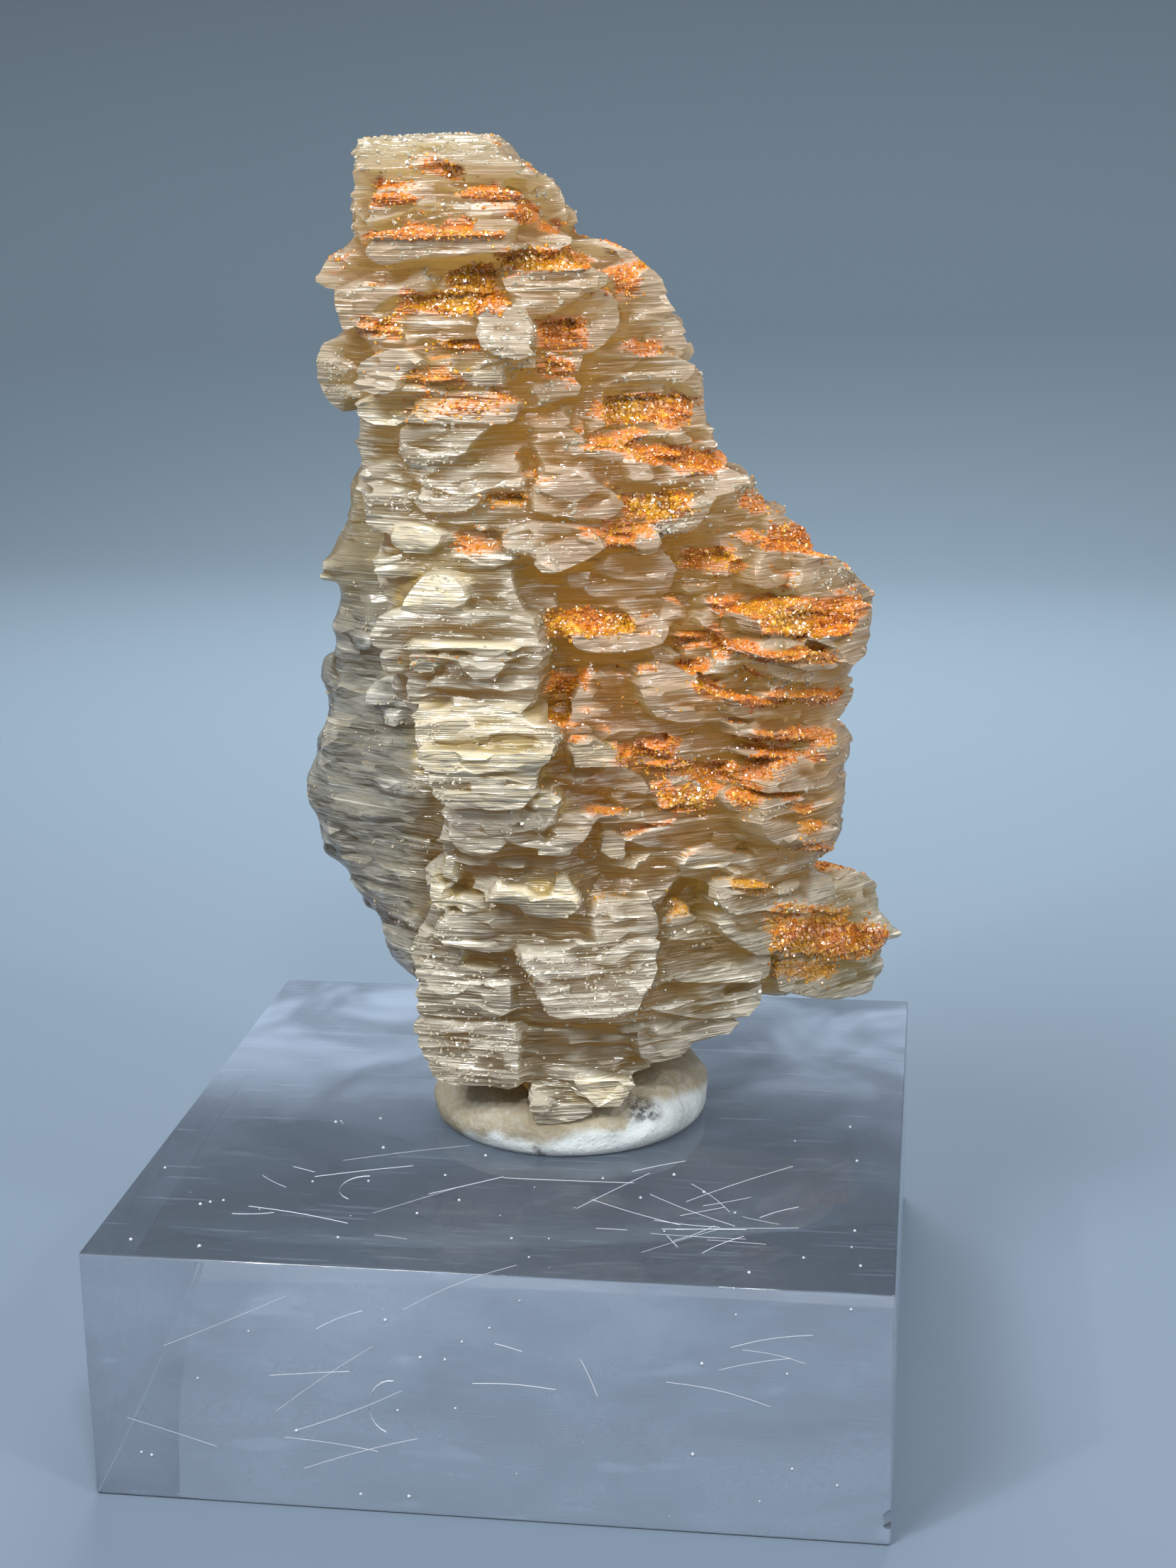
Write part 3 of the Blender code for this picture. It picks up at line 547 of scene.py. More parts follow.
    (9.9, 43.2, 10.9, 43.5, 11.6, 43.4, 11.5, 42, 11.6, 41.2, 11.9, 40.6, 11.6, 40, 11.3, 39.4, 10.6, 39.6,
     10.2, 40.3, 9.2, 40.6, 8.9, 41.3, 9.8, 41.6, 10.3, 42.4),
    (8.4, 41.6, 8.8, 41.1, 9, 40.6, 8.8, 40.3, 8, 40.4, 7.9, 41.2),
    (8.4, 39.6, 9.4, 39.9, 10.4, 39.7, 10.1, 39, 9.6, 38.6, 8.9, 38.7, 8.4, 39.1),
    (12.3, 44.9, 13, 44.2, 14.2, 44.2, 13.9, 43.4, 13.5, 42.9, 13, 42.6, 12.3, 42.4, 11.8, 42.6, 11.7, 43.2,
     12, 43.9),
    (-6.6, 40.3, -6.3, 40.9, -5.6, 41.2, -3, 41.3, -1, 41.2, 0.2, 41.1, 1.2, 40.9, 1.3, 40.3, 1.6, 39.8, 1,
     39.4, -2, 39.6, -5, 39.4, -6.7, 39.4, -6.8, 39.8),
    (-6.6, 39.6, -6.2, 39, -6.2, 38.4, -6, 38, -5, 38.1, -5, 36.6, -2, 36.4, 1, 36.5, 1.3, 37.8, 1.5, 38.6,
     1.7, 39.6),
    (-4.1, 37.4, -3.6, 38, -2.4, 38.2, -1, 37.8, 0.2, 38, 0.4, 37.6, 0.3, 37.2, -2, 37.3),
    (-6.2, 36.9, -6, 37.2, -4.8, 37.1, -4.4, 36.7, -4.7, 36.4, -5.5, 36.4, -6, 36.6),
    (-4.9, 36, -4.6, 36.3, -3.3, 36.4, -2.4, 36.6, -1.2, 36.7, -0.1, 36.65, 0.4, 36.5, 0.7, 36, 1.3, 35.6,
     0.5, 35.4, -1.8, 35.4, -2.2, 35.9, -3.4, 35.7, -4.6, 35.2, -4.8, 35.6),
    (-4.8, 35.5, -3.5, 35.8, -2.1, 35.9, -1.8, 35.5, 0.5, 35.5, 1.4, 35.6, 2.15, 35.55, 2.4, 35.1, 2.3, 34.7,
     2.1, 34.3, 1, 34.4, -1.9, 34.3, -3, 34.6, -4.6, 34.5, -4.8, 35),
    (-3.7, 31.2, -2.4, 31.2, -1, 31.2, 0.2, 31.3, -0.1, 30.7, -0.5, 30.2, -1.4, 30, -2.4, 30.1, -3, 30.5),
    (-3.4, 30.6, -2.6, 30, -1.4, 29.9, -0.5, 30.1, -0.4, 29.6, -0.8, 29.2, -1.8, 28.9, -2.6, 29.1, -3.2,
     29.8),
    (0.1, 31.3, 1, 31.3, 1.8, 31.3, 2.5, 31.8, 2, 31, 1.6, 30.4, 1.3, 29.7, 1, 29.45, 0.1, 29.6, -0.4, 29.8,
     -0.3, 30.4),
    (2.1, 36.3, 2.5, 36.5, 2.9, 36.7, 3.3, 37.6, 3.6, 38.35, 5, 38.5, 5.9, 38.5, 6.3, 37.7, 6.6, 36.9, 6.7,
     36, 6.3, 35.2, 4.2, 34.9, 2.5, 35.1),
    (6.4, 35.2, 7, 35.9, 8, 35.9, 10, 35.9, 10.5, 35.8, 10.7, 35.3, 11.4, 34.6, 11.9, 34.1, 11.5, 34, 9.6, 34,
     8.6, 34, 7.1, 34.3, 6.6, 34.8),
    (11, 34.2, 11.7, 34.2, 12.2, 33.8, 12.3, 33, 12.2, 32.4, 11.8, 31.7, 11.1, 31.4, 10.4, 31.8, 10.2, 32.6,
     11, 33, 10.6, 33.6),
    (7, 32.9, 9.3, 33, 9.4, 32.6, 8.9, 32.2, 8, 31.9, 7.3, 31.5, 7.1, 31.8, 7.1, 32.4),
    (4, 33.4, 5.6, 33.6, 6.2, 33.3, 6.8, 32.8, 7, 32.3, 6.2, 32.3, 5, 32.6, 3, 32.7, 2.8, 33),
    (4.1, 31.4, 7.2, 31.5, 9.8, 31.5, 11.1, 31.4, 11, 30.6, 9, 30.7, 6, 30.9, 4.3, 30.8),
    (5.6, 30, 6.6, 30.6, 8.5, 30.8, 10.6, 30.5, 11.2, 30.4, 11.1, 29.9, 9.5, 29.75, 8, 29.7, 6.6, 29.65),
    (10.5, 29.6, 12, 29.6, 12.6, 29.4, 12.3, 28.9, 11.9, 28.4, 10.5, 28.4, 10.2, 28.7, 10.6, 29.1),
    (11.1, 30.9, 11.6, 31.1, 12, 30.8, 12.5, 30, 12, 29.9, 11.1, 30.2),
    (12.7, 33.9, 13.5, 34.3, 15, 34.2, 15.3, 34, 15.9, 33.5, 15.5, 33, 14.4, 32.7, 12.5, 32.5, 12.4, 33),
    (12.2, 32.2, 14, 32.5, 15.2, 32.3, 15.9, 32.4, 15.9, 31.2, 15, 31, 14.2, 30.3, 13.5, 30, 12.6, 30.1, 12,
     31),
    (12.1, 31, 13, 31.1, 15, 31, 15.9, 30.9, 15.4, 30.3, 14.4, 30, 12.8, 30, 12.4, 30.3),
    (10.6, 38.4, 11.6, 38.8, 12.2, 38.5, 12.4, 37.5, 12.6, 36.9, 10.7, 37, 10.2, 37.3, 9.9, 37.9),
    (10.7, 37, 13.2, 37, 14.6, 36.9, 15.4, 36.4, 15.2, 36, 13.2, 36.1, 11, 36.2, 10.6, 36.5),
    (10.8, 35.9, 12.4, 36, 14.5, 36.3, 15.6, 35.9, 16.4, 35.3, 15, 35.2, 12, 35.2, 11, 35.3),
    (13.7, 41.9, 16.4, 42, 16.9, 41.5, 16.6, 40.9, 15.9, 40.6, 14.5, 40.3, 12.2, 40.2, 12, 41),
    (12.3, 38.9, 13, 38.8, 14.2, 38.45, 15.4, 38.6, 15.8, 38.4, 15.6, 38.1, 14.6, 37.9, 13.2, 38, 12.6, 38.3),
    (-3.3, 26, -2.3, 26, -1.4, 26.5, 0, 26.5, 0.5, 25.9, 2.3, 25.7, 3.3, 25.7, 4, 25.4, 4.1, 24.9, 3.6, 24.5,
     2, 24.5, 0, 24.2, -1.5, 24, -3.6, 24.3, -4.2, 24.9, -3.9, 25.5),
    (-5.3, 24.3, -4.9, 24.9, -4.3, 25, -3.6, 24.8, -3.3, 24.3, -3, 23.6, -4.5, 23.3, -5.2, 23.5, -5.4, 24),
    (-5.3, 23.4, -4.6, 23.4, -3.9, 23.2, -2.5, 23.2, -0.9, 23.2, -1.2, 22.8, -3.2, 22.6, -4.4, 22.3, -4.9,
     22.5),
    (-4.9, 22.3, -3.5, 22.3, -1.2, 22.4, -0.2, 21.9, -0.2, 21, -1, 20.6, -3, 20.5, -5, 20.6, -5.1, 21.4),
    (0.5, 16.9, 1.1, 17.1, 1.6, 16.6, 2.3, 16.9, 3, 16.7, 3.6, 16.2, 3.8, 15.7, 3, 15.3, 1.6, 15, 0.8, 15,
     0.5, 15.7),
    (10, 28.1, 11.9, 28.6, 12.7, 28.5, 14, 28.6, 15.5, 28.5, 15.6, 27.7, 15.2, 27.2, 14.6, 26.7, 14.2, 26.5,
     12, 26.6, 11, 26.3, 10.2, 26.8, 9.9, 27.4),
    (7.6, 26.2, 8.3, 26.7, 8.9, 26.3, 10, 26.1, 10.3, 25.3, 10.9, 24.9, 11.6, 24.7, 11, 24.5, 10, 24.8, 8.5,
     24.9, 7.3, 25, 7.2, 25.6),
    (7.4, 24.9, 10, 24.8, 11.5, 24.7, 12.1, 24.4, 12.6, 24.3, 12.7, 24, 12.5, 23.3, 12, 22.9, 10, 22.8, 8,
     22.8, 7.3, 22.9, 7.4, 23.8),
    (6.9, 22.8, 7.4, 22.7, 8.6, 22.4, 10.3, 22.3, 11.4, 22.5, 12.2, 22.9, 12.3, 22, 11.6, 21.2, 10.6, 21, 9,
     20.9, 7, 21.2, 6.3, 21.6, 6.5, 22.2),
    (5.8, 21, 7, 21.1, 8.6, 20.9, 10.6, 20.9, 11.2, 20.9, 10.6, 20.2, 9.5, 19.9, 8.6, 19.6, 6.8, 19.4, 6,
     19.8),
    (6, 19.7, 7.2, 19.9, 8.4, 20, 8.7, 19.5, 8.2, 18.9, 7.4, 18.6, 6.5, 18.4, 6.1, 18.9),
), "lobes": (
    (-6.35, 58, -6.1, 58.4, -5.3, 58.75, -4.4, 58.95, -3.5, 58.85, -2.6, 58.6, -1.4, 58.5, 0, 58.4, 1, 58.1,
     0.3, 57.9, -0.8, 57.85, -2.2, 57.7, -3.8, 57.6, -5, 57.4, -5.6, 57.3, -6.1, 57.6),
    (-1.25, 55.3, -0.9, 55.6, -0.4, 55.7, 0.2, 55.6, 0.7, 55.65, 1.1, 55.4, 1.4, 54.9, 1.7, 54.4, 1.4, 54,
     1.3, 53.6, 1.5, 53.2, 0.8, 53, -0.2, 53.2, -0.9, 53.5, -1.2, 54.2, -1.1, 54.8),
    (-7, 52.4, -6.8, 52.9, -6, 53.3, -5.4, 53.5, -4.6, 53.5, -4, 53.2, -3.9, 52.9, -4.3, 52.6, -4.8, 52.3,
     -4.9, 51.9, -5.2, 51.5, -6, 51.4, -6.8, 51.6, -7.1, 51.9),
    (0.1, 56.7, 1, 57, 2, 57.1, 3.2, 57.2, 4.3, 57.2, 4.9, 56.9, 5.05, 56.5, 4.6, 56.2, 3.9, 56, 3.3, 55.6,
     2.6, 55.2, 1.8, 55, 1.2, 55.1, 1, 55.6, 0.3, 56.1),
    (-5.2, 41.3, -4.9, 41.9, -4.5, 42.5, -4, 42.9, -3.1, 43, -2.5, 42.8, -2.1, 42.2, -2, 41.6, -2.4, 41.2, -4,
     41.2),
    (1.2, 43.9, 2.3, 44.4, 3.4, 44.9, 4.4, 44.9, 4.8, 44.3, 4.2, 43.9, 3.2, 43.4, 2.3, 43, 1.7, 43, 1.4,
     43.4),
    (9.9, 46.8, 9.6, 46, 9.2, 45.4, 8.8, 45.1, 7.4, 45, 7.2, 45.5, 7.5, 46, 8, 46.4, 8.8, 46.6, 9.4, 46.7),
    (6.2, 44.9, 7.2, 45, 7.4, 44.6, 7.1, 44, 6.5, 43.9, 6.2, 44.3),
    (2.9, 40.1, 3.2, 40.3, 4.2, 40.1, 6.1, 40.2, 7.8, 40.5, 7.3, 39.7, 6.5, 39.4, 5, 39.2, 3.8, 39.2, 3.2,
     39.5),
    (6.7, 39.4, 7.15, 39.7, 7.65, 39.7, 8.1, 39.35, 8.35, 38.85, 7.65, 38.95, 6.95, 38.85),
    (9.1, 38.2, 9.6, 38.4, 10, 38.9, 10.2, 39.3, 11.1, 39.35, 11.7, 39.1, 11.2, 38.7, 10.6, 38.35, 9.9, 38.3),
    (-4.9, 39.2, -4.8, 39.6, -2.4, 39.65, 0.3, 39.55, 0.3, 39.2, -2, 39.25),
    (-4.8, 38.6, -4.5, 38.8, -3.6, 38.8, -3.5, 38.5, -3.8, 38.15, -4.4, 38.1, -4.8, 38.3),
    (-2.35, 38.5, -2, 39, -1.45, 39.2, -0.2, 39.2, -0.2, 38.4, -0.7, 38.05, -1.15, 37.8, -1.75, 37.8, -2.2,
     38.25),
    (-4.8, 34.1, -4.6, 34.4, -3, 34.3, -1.5, 34.2, 0.2, 34.2, 2.1, 34.4, 1.9, 33.9, 1.4, 33.5, 0.6, 33.4,
     -0.2, 33.3, -1.8, 33.1, -3.2, 33.1, -4.2, 33.2, -4.6, 33.6),
    (-4.2, 33.1, -2.5, 33.1, -0.3, 33.2, 1, 33.5, 1.3, 33.4, 1.2, 32.6, 1, 32, 0.4, 31.4, -0.6, 31.3, -2,
     31.4, -3, 31.3, -3.9, 32, -4.1, 32.6),
    (0.8, 31.5, 1.4, 32.5, 1.7, 32.5, 2.5, 32, 1.9, 31.4, 1, 31.4),
    (1.9, 30.2, 2.2, 30.9, 2.7, 31.4, 4, 31.4, 4.1, 31, 3.8, 30.3, 3.5, 29.9, 2.9, 29.4, 2.7, 29.1, 1.1, 29.1,
     1.3, 29.7, 1.9, 29.9),
    (-3.5, 28.8, -3.1, 28.9, -2.9, 28.2, -2.75, 27.8, -3.1, 27.4, -3.5, 27.8),
    (2.9, 34.5, 3.05, 35, 4.1, 35.05, 5.05, 34.5, 5.3, 34.3, 5.4, 33.65, 4.05, 33.55, 3, 33.6),
    (6.15, 38.5, 6.6, 38.7, 7.15, 38.8, 7.85, 38.7, 8.45, 38.5, 8.9, 38.2, 9.1, 37.8, 8.35, 37.7, 7.65, 37.7,
     7.05, 37.45, 6.55, 37.35, 6.2, 37.7),
    (6.55, 37.3, 7.1, 37.5, 8.35, 37.75, 9.2, 37.7, 9.75, 37.4, 10.35, 37, 10.7, 36.35, 10.5, 36.15, 9.9, 36,
     8.9, 35.9, 7.8, 35.95, 7.15, 36.15, 6.7, 36.6),
    (4.3, 30.1, 4.5, 30.45, 5.1, 30.45, 5.5, 29.9, 5.6, 29.4, 5.4, 29, 4.9, 29, 4.3, 29.4),
    (8.25, 29, 8.8, 29.5, 9.4, 29.6, 10.75, 29.65, 10.4, 28.65, 9.3, 28.6, 8.2, 28.5),
    (7.7, 49.4, 8, 49.8, 8.7, 49.6, 9, 49.2, 8.2, 49.1),
    (16, 41.3, 16.6, 41.8, 17.1, 41.8, 17.3, 41.6, 17.2, 40.8, 17, 40, 16.9, 39.3, 16.4, 38.8, 15.8, 38.9,
     15.4, 39.7, 14.6, 40, 15.3, 40.5, 16.5, 40.7),
    (12.2, 39.9, 12.6, 40.15, 13.6, 40.1, 14.1, 39.9, 14.4, 39.4, 14.8, 39.2, 15.6, 39.3, 15.8, 38.9, 15.4,
     38.6, 14.2, 38.5, 13.2, 38.8, 12.7, 39, 12.1, 39.2),
    (-4.3, 28, -4.1, 28.1, -3.7, 27.6, -3.2, 27.2, -3.1, 26.8, -3.45, 26.1, -3.9, 26.15, -4.1, 26.7, -4.3,
     27.3),
    (-1.4, 26.6, -1.15, 27.2, -0.9, 27.65, -0.35, 27.45, 0.6, 27.4, 1.1, 27.05, 1.6, 27.1, 2, 27.5, 2.1,
     27.95, 2.6, 28.05, 2.8, 27.6, 3.2, 27.1, 3.2, 26.4, 2.5, 25.95, 2.1, 25.8, 1.2, 25.9, 0.5, 26, 0.1, 26.5,
     -0.6, 26.55),
    (-3.05, 26.8, -2.6, 27, -1.7, 26.95, -1.3, 27.05, -1.5, 26.45, -2.25, 26.05, -2.7, 26.15, -3.1, 26.4),
    (4.1, 27, 5.8, 27, 6.6, 27.3, 6.9, 26.8, 7, 26.3, 7.1, 25.4, 7.15, 24.4, 7.1, 23.6, 6.9, 22.9, 6.5, 22.2,
     6, 21.3, 5.5, 21, 4.8, 20.8, 3.5, 20.75, 2, 20.6, 1.5, 20.9, 1.2, 21.6, 1, 22.6, 0.2, 23.4, 0.3, 24, 2.3,
     24.4, 3.9, 24.9, 3.8, 26),
    (-5.3, 20.2, -4.8, 20.5, -3.4, 20.4, -2.6, 20.2, -1.7, 20.3, -0.8, 20.4, 0, 20.1, 0.15, 19, 0.05, 18,
     0.05, 17, -0.5, 16.8, -1.7, 16.9, -3.3, 16.9, -4, 17.1, -4.5, 17.4, -4.6, 18.1, -5, 18.6, -5.2, 19.4),
    (3.1, 17.1, 3.7, 17.5, 5.6, 17.6, 6, 17.3, 5.4, 16.6, 5.1, 16.1, 4.6, 16.1, 3.9, 15.9, 3.5, 16.4, 3,
     16.8),
    (0.45, 16, 0.7, 16.2, 1.3, 16.2, 1.6, 15.9, 1.2, 15.5, 0.5, 15.6),
    (10, 26.2, 10.6, 26.7, 11.5, 26.9, 13, 27, 14.2, 26.9, 14.2, 26.2, 13.9, 25.4, 13.3, 24.9, 12.7, 24.4, 12,
     24.3, 11.1, 24.8, 10.4, 25.3, 10.05, 25.8),
)}

# How the hollows are cut
hollows = {
    "above": 1.0,             # the cutters start this far in front of the surface
    "lean": 0.15,
    "wide": (0.9, 1.08),
    "ragged": 0.08,
    "rounding": 0.06,
}

# Hollows that the photograph shows: x from and to, z from and to on the read plane, depth
seenHollows = (
    (-2.6, 0.0, 56.2, 57.1, 0.15), (-4.4, -0.3, 55.3, 55.95, 0.25), (0.2, 3.2, 57.25, 57.85, 0.2),
    (4.8, 8.7, 50.2, 51.4, 0.35), (5.6, 8.2, 45.8, 46.9, 0.2), (1.9, 6.0, 40.2, 41.3, 0.35),
    (12.1, 16.2, 40.3, 41.3, 0.35), (7.0, 9.4, 31.7, 32.8, 0.2), (12.8, 17.4, 24.6, 26.0, 0.2),
    (8.5, 10.9, 43.5, 44.3, 0.5), (6.3, 8.1, 34.4, 35.2, 0.55), (5.4, 6.2, 33.9, 34.8, 0.61),
    (1.9, 3.0, 35.4, 37.1, 1.5), (1.9, 3.5, 53.8, 54.8, 0.44), (-2.8, -1.0, 53.5, 53.9, 0.5),
    (-2.6, -0.5, 44.1, 45.0, 0.39), (12.2, 13.9, 41.4, 42.1, 0.5), (4.4, 7.0, 44.9, 45.4, 0.44),
    (7.9, 9.7, 26.6, 28.1, 0.61), (-6.6, -4.9, 54.3, 54.8, 0.39), (-4.5, -2.0, 52.0, 52.5, 0.33),
    (-0.9, 0.9, 46.2, 46.7, 0.39), (2.0, 3.2, 52.4, 52.85, 0.39), (10.5, 11.9, 32.1, 32.8, 0.33),
    (9.4, 10.7, 41.6, 41.95, 0.39), (8.5, 9.5, 38.5, 38.9, 0.39), (10.7, 12.4, 27.6, 28.1, 0.33),
    (12.7, 15.3, 37.15, 37.5, 0.33), (-3.9, -3.4, 26.3, 27.4, 0.39), (7.8, 10.0, 40.0, 40.35, 0.33),
)


def parts(made, kind, key="geom"):
    # The elements of one kind that an operator gave
    return [part for part in made[key] if isinstance(part, kind)]


def compass(facing):
    angle = math.radians(facing)
    outward = Vector((math.cos(angle), math.sin(angle), 0))
    return outward, Vector((-outward.y, outward.x, 0))


def plateShell(corners, outward, depth, rounding):
    # A closed plate behind a flat outline: rounded corners, a soft rim and a slightly raised middle
    bm = bmesh.new()
    bm.faces.new([bm.verts.new(corner) for corner in corners])
    bmesh.ops.bevel(bm, geom=bm.verts[:], offset=rounding, offset_type="OFFSET", affect="VERTICES",
                    segments=2, profile=0.5, material=-1, clamp_overlap=True)
    made = bmesh.ops.extrude_face_region(bm, geom=bm.faces[:], use_keep_orig=True)
    bmesh.ops.translate(bm, vec=-outward * depth, verts=parts(made, bmesh.types.BMVert))
    bmesh.ops.recalc_face_normals(bm, faces=bm.faces)
    front = max(bm.faces, key=lambda face: face.normal.dot(outward) * len(face.verts))
    bmesh.ops.inset_region(bm, faces=[front], thickness=crystal["rimWide"], depth=crystal["rimHigh"],
                           use_even_offset=False)
    return bm


def seenCorners(reads, proud, lean, trees):
    # Corners in space of an outline read on the read plane, a little in front of what lies there
    marks = [Vector((x, crystal["readPlane"], z)) for x, z in reads]
    middle = sum(marks, Vector()) / len(marks)
    outward, _ = compass(float(np.interp(middle.x, *zip(*crystal["facingAcross"]))))
    reaches = []
    for mark in marks + [middle, middle]:
        ray = (middle.lerp(mark, 0.6) - eye).normalized()
        hits = [tree.ray_cast(eye, ray) for tree in trees]
        near = [hit for hit in hits if hit[0] is not None]
        if near:
            reaches.append(min(near, key=lambda hit: hit[3])[0].dot(outward))
    if not reaches:
        return None, outward
    reach = float(np.percentile(reaches, 60)) + proud
    ray = middle - eye
    centre = eye + ray * ((reach - eye.dot(outward)) / ray.dot(outward))
    slope = (outward + Vector((0, 0, lean))).normalized()
    rays = [mark - eye for mark in marks]
    return [eye + ray * ((centre - eye).dot(slope) / ray.dot(slope)) for ray in rays], outward


def makeCore():
    # The solid with its narrow grooves filled, a little inside its own skin
    core = shape("core", mergedCopy("cerussite"))
    for distance in (crystal["fill"], -crystal["fill"] - crystal["sink"]):
        remesh(core, crystal["coreSkin"])
        swell(core, distance)
    remesh(core, crystal["coreSkin"])
    return core


def surfaceOf(item):
    return BVHTree.FromObject(item, bpy.context.evaluated_depsgraph_get())


def onBlade(hit, outward):
    # The glassy left rear blade stays plain
    outX, outY = seeded["bladeFacing"]
    low = hit.z < seeded["bladeTop"] and hit.x < seeded["bladeRight"]
    return low and outward.x < outX and outward.y < outY


def smallPlates(total, skin):
    # Each plate is set into what a level line from outside meets
    forms = sorted(outlines)
    footX, footY, footZ = seeded["foot"]
    placed = 0
    while placed < seeded["count"]:
        height = rng.uniform(*seeded["heights"])
        outward, aside = compass(rng.uniform(0, 360))
        axis = footX - seeded["axisLean"] * (height - footZ) / seeded["axisRise"]
        start = Vector((axis, footY, height)) + outward * seeded["away"]
        start += aside * rng.uniform(-seeded["aside"], seeded["aside"])
        hit, normal, _, _ = skin.ray_cast(start, -outward)
        if hit is None or abs(normal.z) > seeded["steepest"]:
            continue
        placed += 1
        seen = skin.ray_cast(eye, (hit - eye).normalized())[0]
        shown = seen is not None and (seen - hit).length < seeded["near"]
        spared = shown and rng.uniform() < seeded["spared"]
        if spared or onBlade(hit, outward):
            continue
        size = seeded["seenSize"] if shown else 1.0
        facing = math.degrees(math.atan2(normal.y, normal.x)) + rng.uniform(-seeded["turn"], seeded["turn"])
        outward, aside = compass(facing)
        half = rng.uniform(*seeded["half"]) * size
        tall = rng.uniform(*seeded["tall"]) * size
        lean = rng.uniform(*seeded["lean"])
        nose = hit + outward * rng.uniform(*seeded["proud"]) * size
        outline = outlines[forms[rng.randint(len(forms))]]
        flip = rng.choice((-1, 1))
        ragX, ragZ = seeded["ragged"]
        corners = []
        for lateral, rise in outline:
            lateral = flip * lateral + rng.uniform(-ragX, ragX)
            rise += rng.uniform(-ragZ, ragZ) - 0.5
            corners.append(nose + aside * lateral * half + Vector((0, 0, rise * tall)) - outward * lean * rise)
        backs = [skin.ray_cast(corner + outward * 0.5, -outward, seeded["support"])[0] for corner in corners]
        if all(back is not None for back in backs):
            gather(total, plateShell(corners, outward, seeded["depth"], seeded["rounding"] * tall))


def tracedPlates(total, skin):
    # Each plate stands on what the camera's rays meet, earlier plates included
    added = bmesh.new()
    for kind, rows in platesSeen.items():
        for row in rows:
            trees = [skin]
            if added.faces:
                trees.append(BVHTree.FromBMesh(added))
            proud = traced["proud"][kind] + rng.uniform(-traced["unlike"], traced["unlike"])
            lean = rng.uniform(*traced["lean"][kind])
            corners, outward = seenCorners(zip(row[::2], row[1::2]), proud, lean, trees)
            if corners:
                gather(added, plateShell(corners, outward, traced["depth"], traced["rounding"]))
    gather(total, added)


def seenLedges(total):
    tree = BVHTree.FromBMesh(total)
    for left, right, low, top, _ in patches["dust"]:
        if right - left < ledges["shortest"] or top - low > ledges["highest"]:
            continue
        level = (low + top) / 2
        shares = np.linspace(0, 1, ledges["points"])
        wave = rng.uniform(-ledges["wave"], ledges["wave"], len(shares))
        thick = ledges["thick"] * np.sin(np.pi * np.clip(shares, 0.12, 0.88)) ** 0.5 / 2
        upper = [(left + share * (right - left), level + rise + half)
                 for share, rise, half in zip(shares, wave, thick)]
        lower = [(x, z - 2 * half) for (x, z), half in zip(upper, thick)]
        lean = rng.uniform(-ledges["lean"], ledges["lean"])
        corners, outward = seenCorners(lower + upper[::-1], ledges["proud"], lean, [tree])
        if corners:
            gather(total, plateShell(corners, outward, ledges["depth"], ledges["rounding"]))


def hollowCutters(skin):
    # Closed cutters for the hollows, each starting above the surface
    cutters = bmesh.new()
    above, lean, rounding, ragged = (hollows[key] for key in ("above", "lean", "rounding", "ragged"))
    for left, right, low, top, depth in seenHollows:
        reads = [((left + right) / 2 + lateral * (right - left) / 2 * rng.uniform(*hollows["wide"]),
                  low + (rise + rng.uniform(-ragged, ragged)) * (top - low))
                 for lateral, rise in outlines["slab"]]
        corners, outward = seenCorners(reads, above, lean, [skin])
        if corners:
            gather(cutters, plateShell(corners, outward, depth + above, rounding))
    item = shape("hollows", cutters)
    stretched(item, crystal["stretch"])
    remesh(item, crystal["skin"])
    return item


def bandSteps(points, seed):
    # Random values in level layers, which shift a little from place to place
    layers = np.random.RandomState(seed)
    thinnest, thickest = relief["bands"]
    edges = np.cumsum(layers.uniform(thinnest, thickest, int(60 / thinnest)))
    values = layers.uniform(-1, 1, len(edges) + 1)
    height = points[:, 2] - 10 + 0.9 * softNoise(points, (3.1, 3.1, 2.3), seed + 1)
    return values[np.searchsorted(edges, height)]


def flakeSteps(points, seed):
    # Random values in small flat flakes, laid like shifted bricks
    size = 4096
    shares = np.random.RandomState(seed).uniform(0, 1, (size,))
    narrow, wider = relief["flakeWide"]
    wander = softNoise(points, (2.2, 2.2, 1.6), seed + 1)
    rows = np.floor(points[:, 2] / relief["flakeHigh"] + 0.8 * wander).astype(int)
    along = points[:, 0] + 0.55 * points[:, 1] + 0.5 * softNoise(points, 0.9, seed + 2)
    columns = along / (narrow + wider * shares[rows % size]) + 7 * shares[(rows * 7) % size]
    return 2 * shares[(rows * 131 + np.floor(columns).astype(int) * 53) % size] - 1


def onRear(points):
    # 0 to 1, high on the left rear blade
    return ease(0, 4, points[:, 1] - 1.2 * (points[:, 0] + 5))


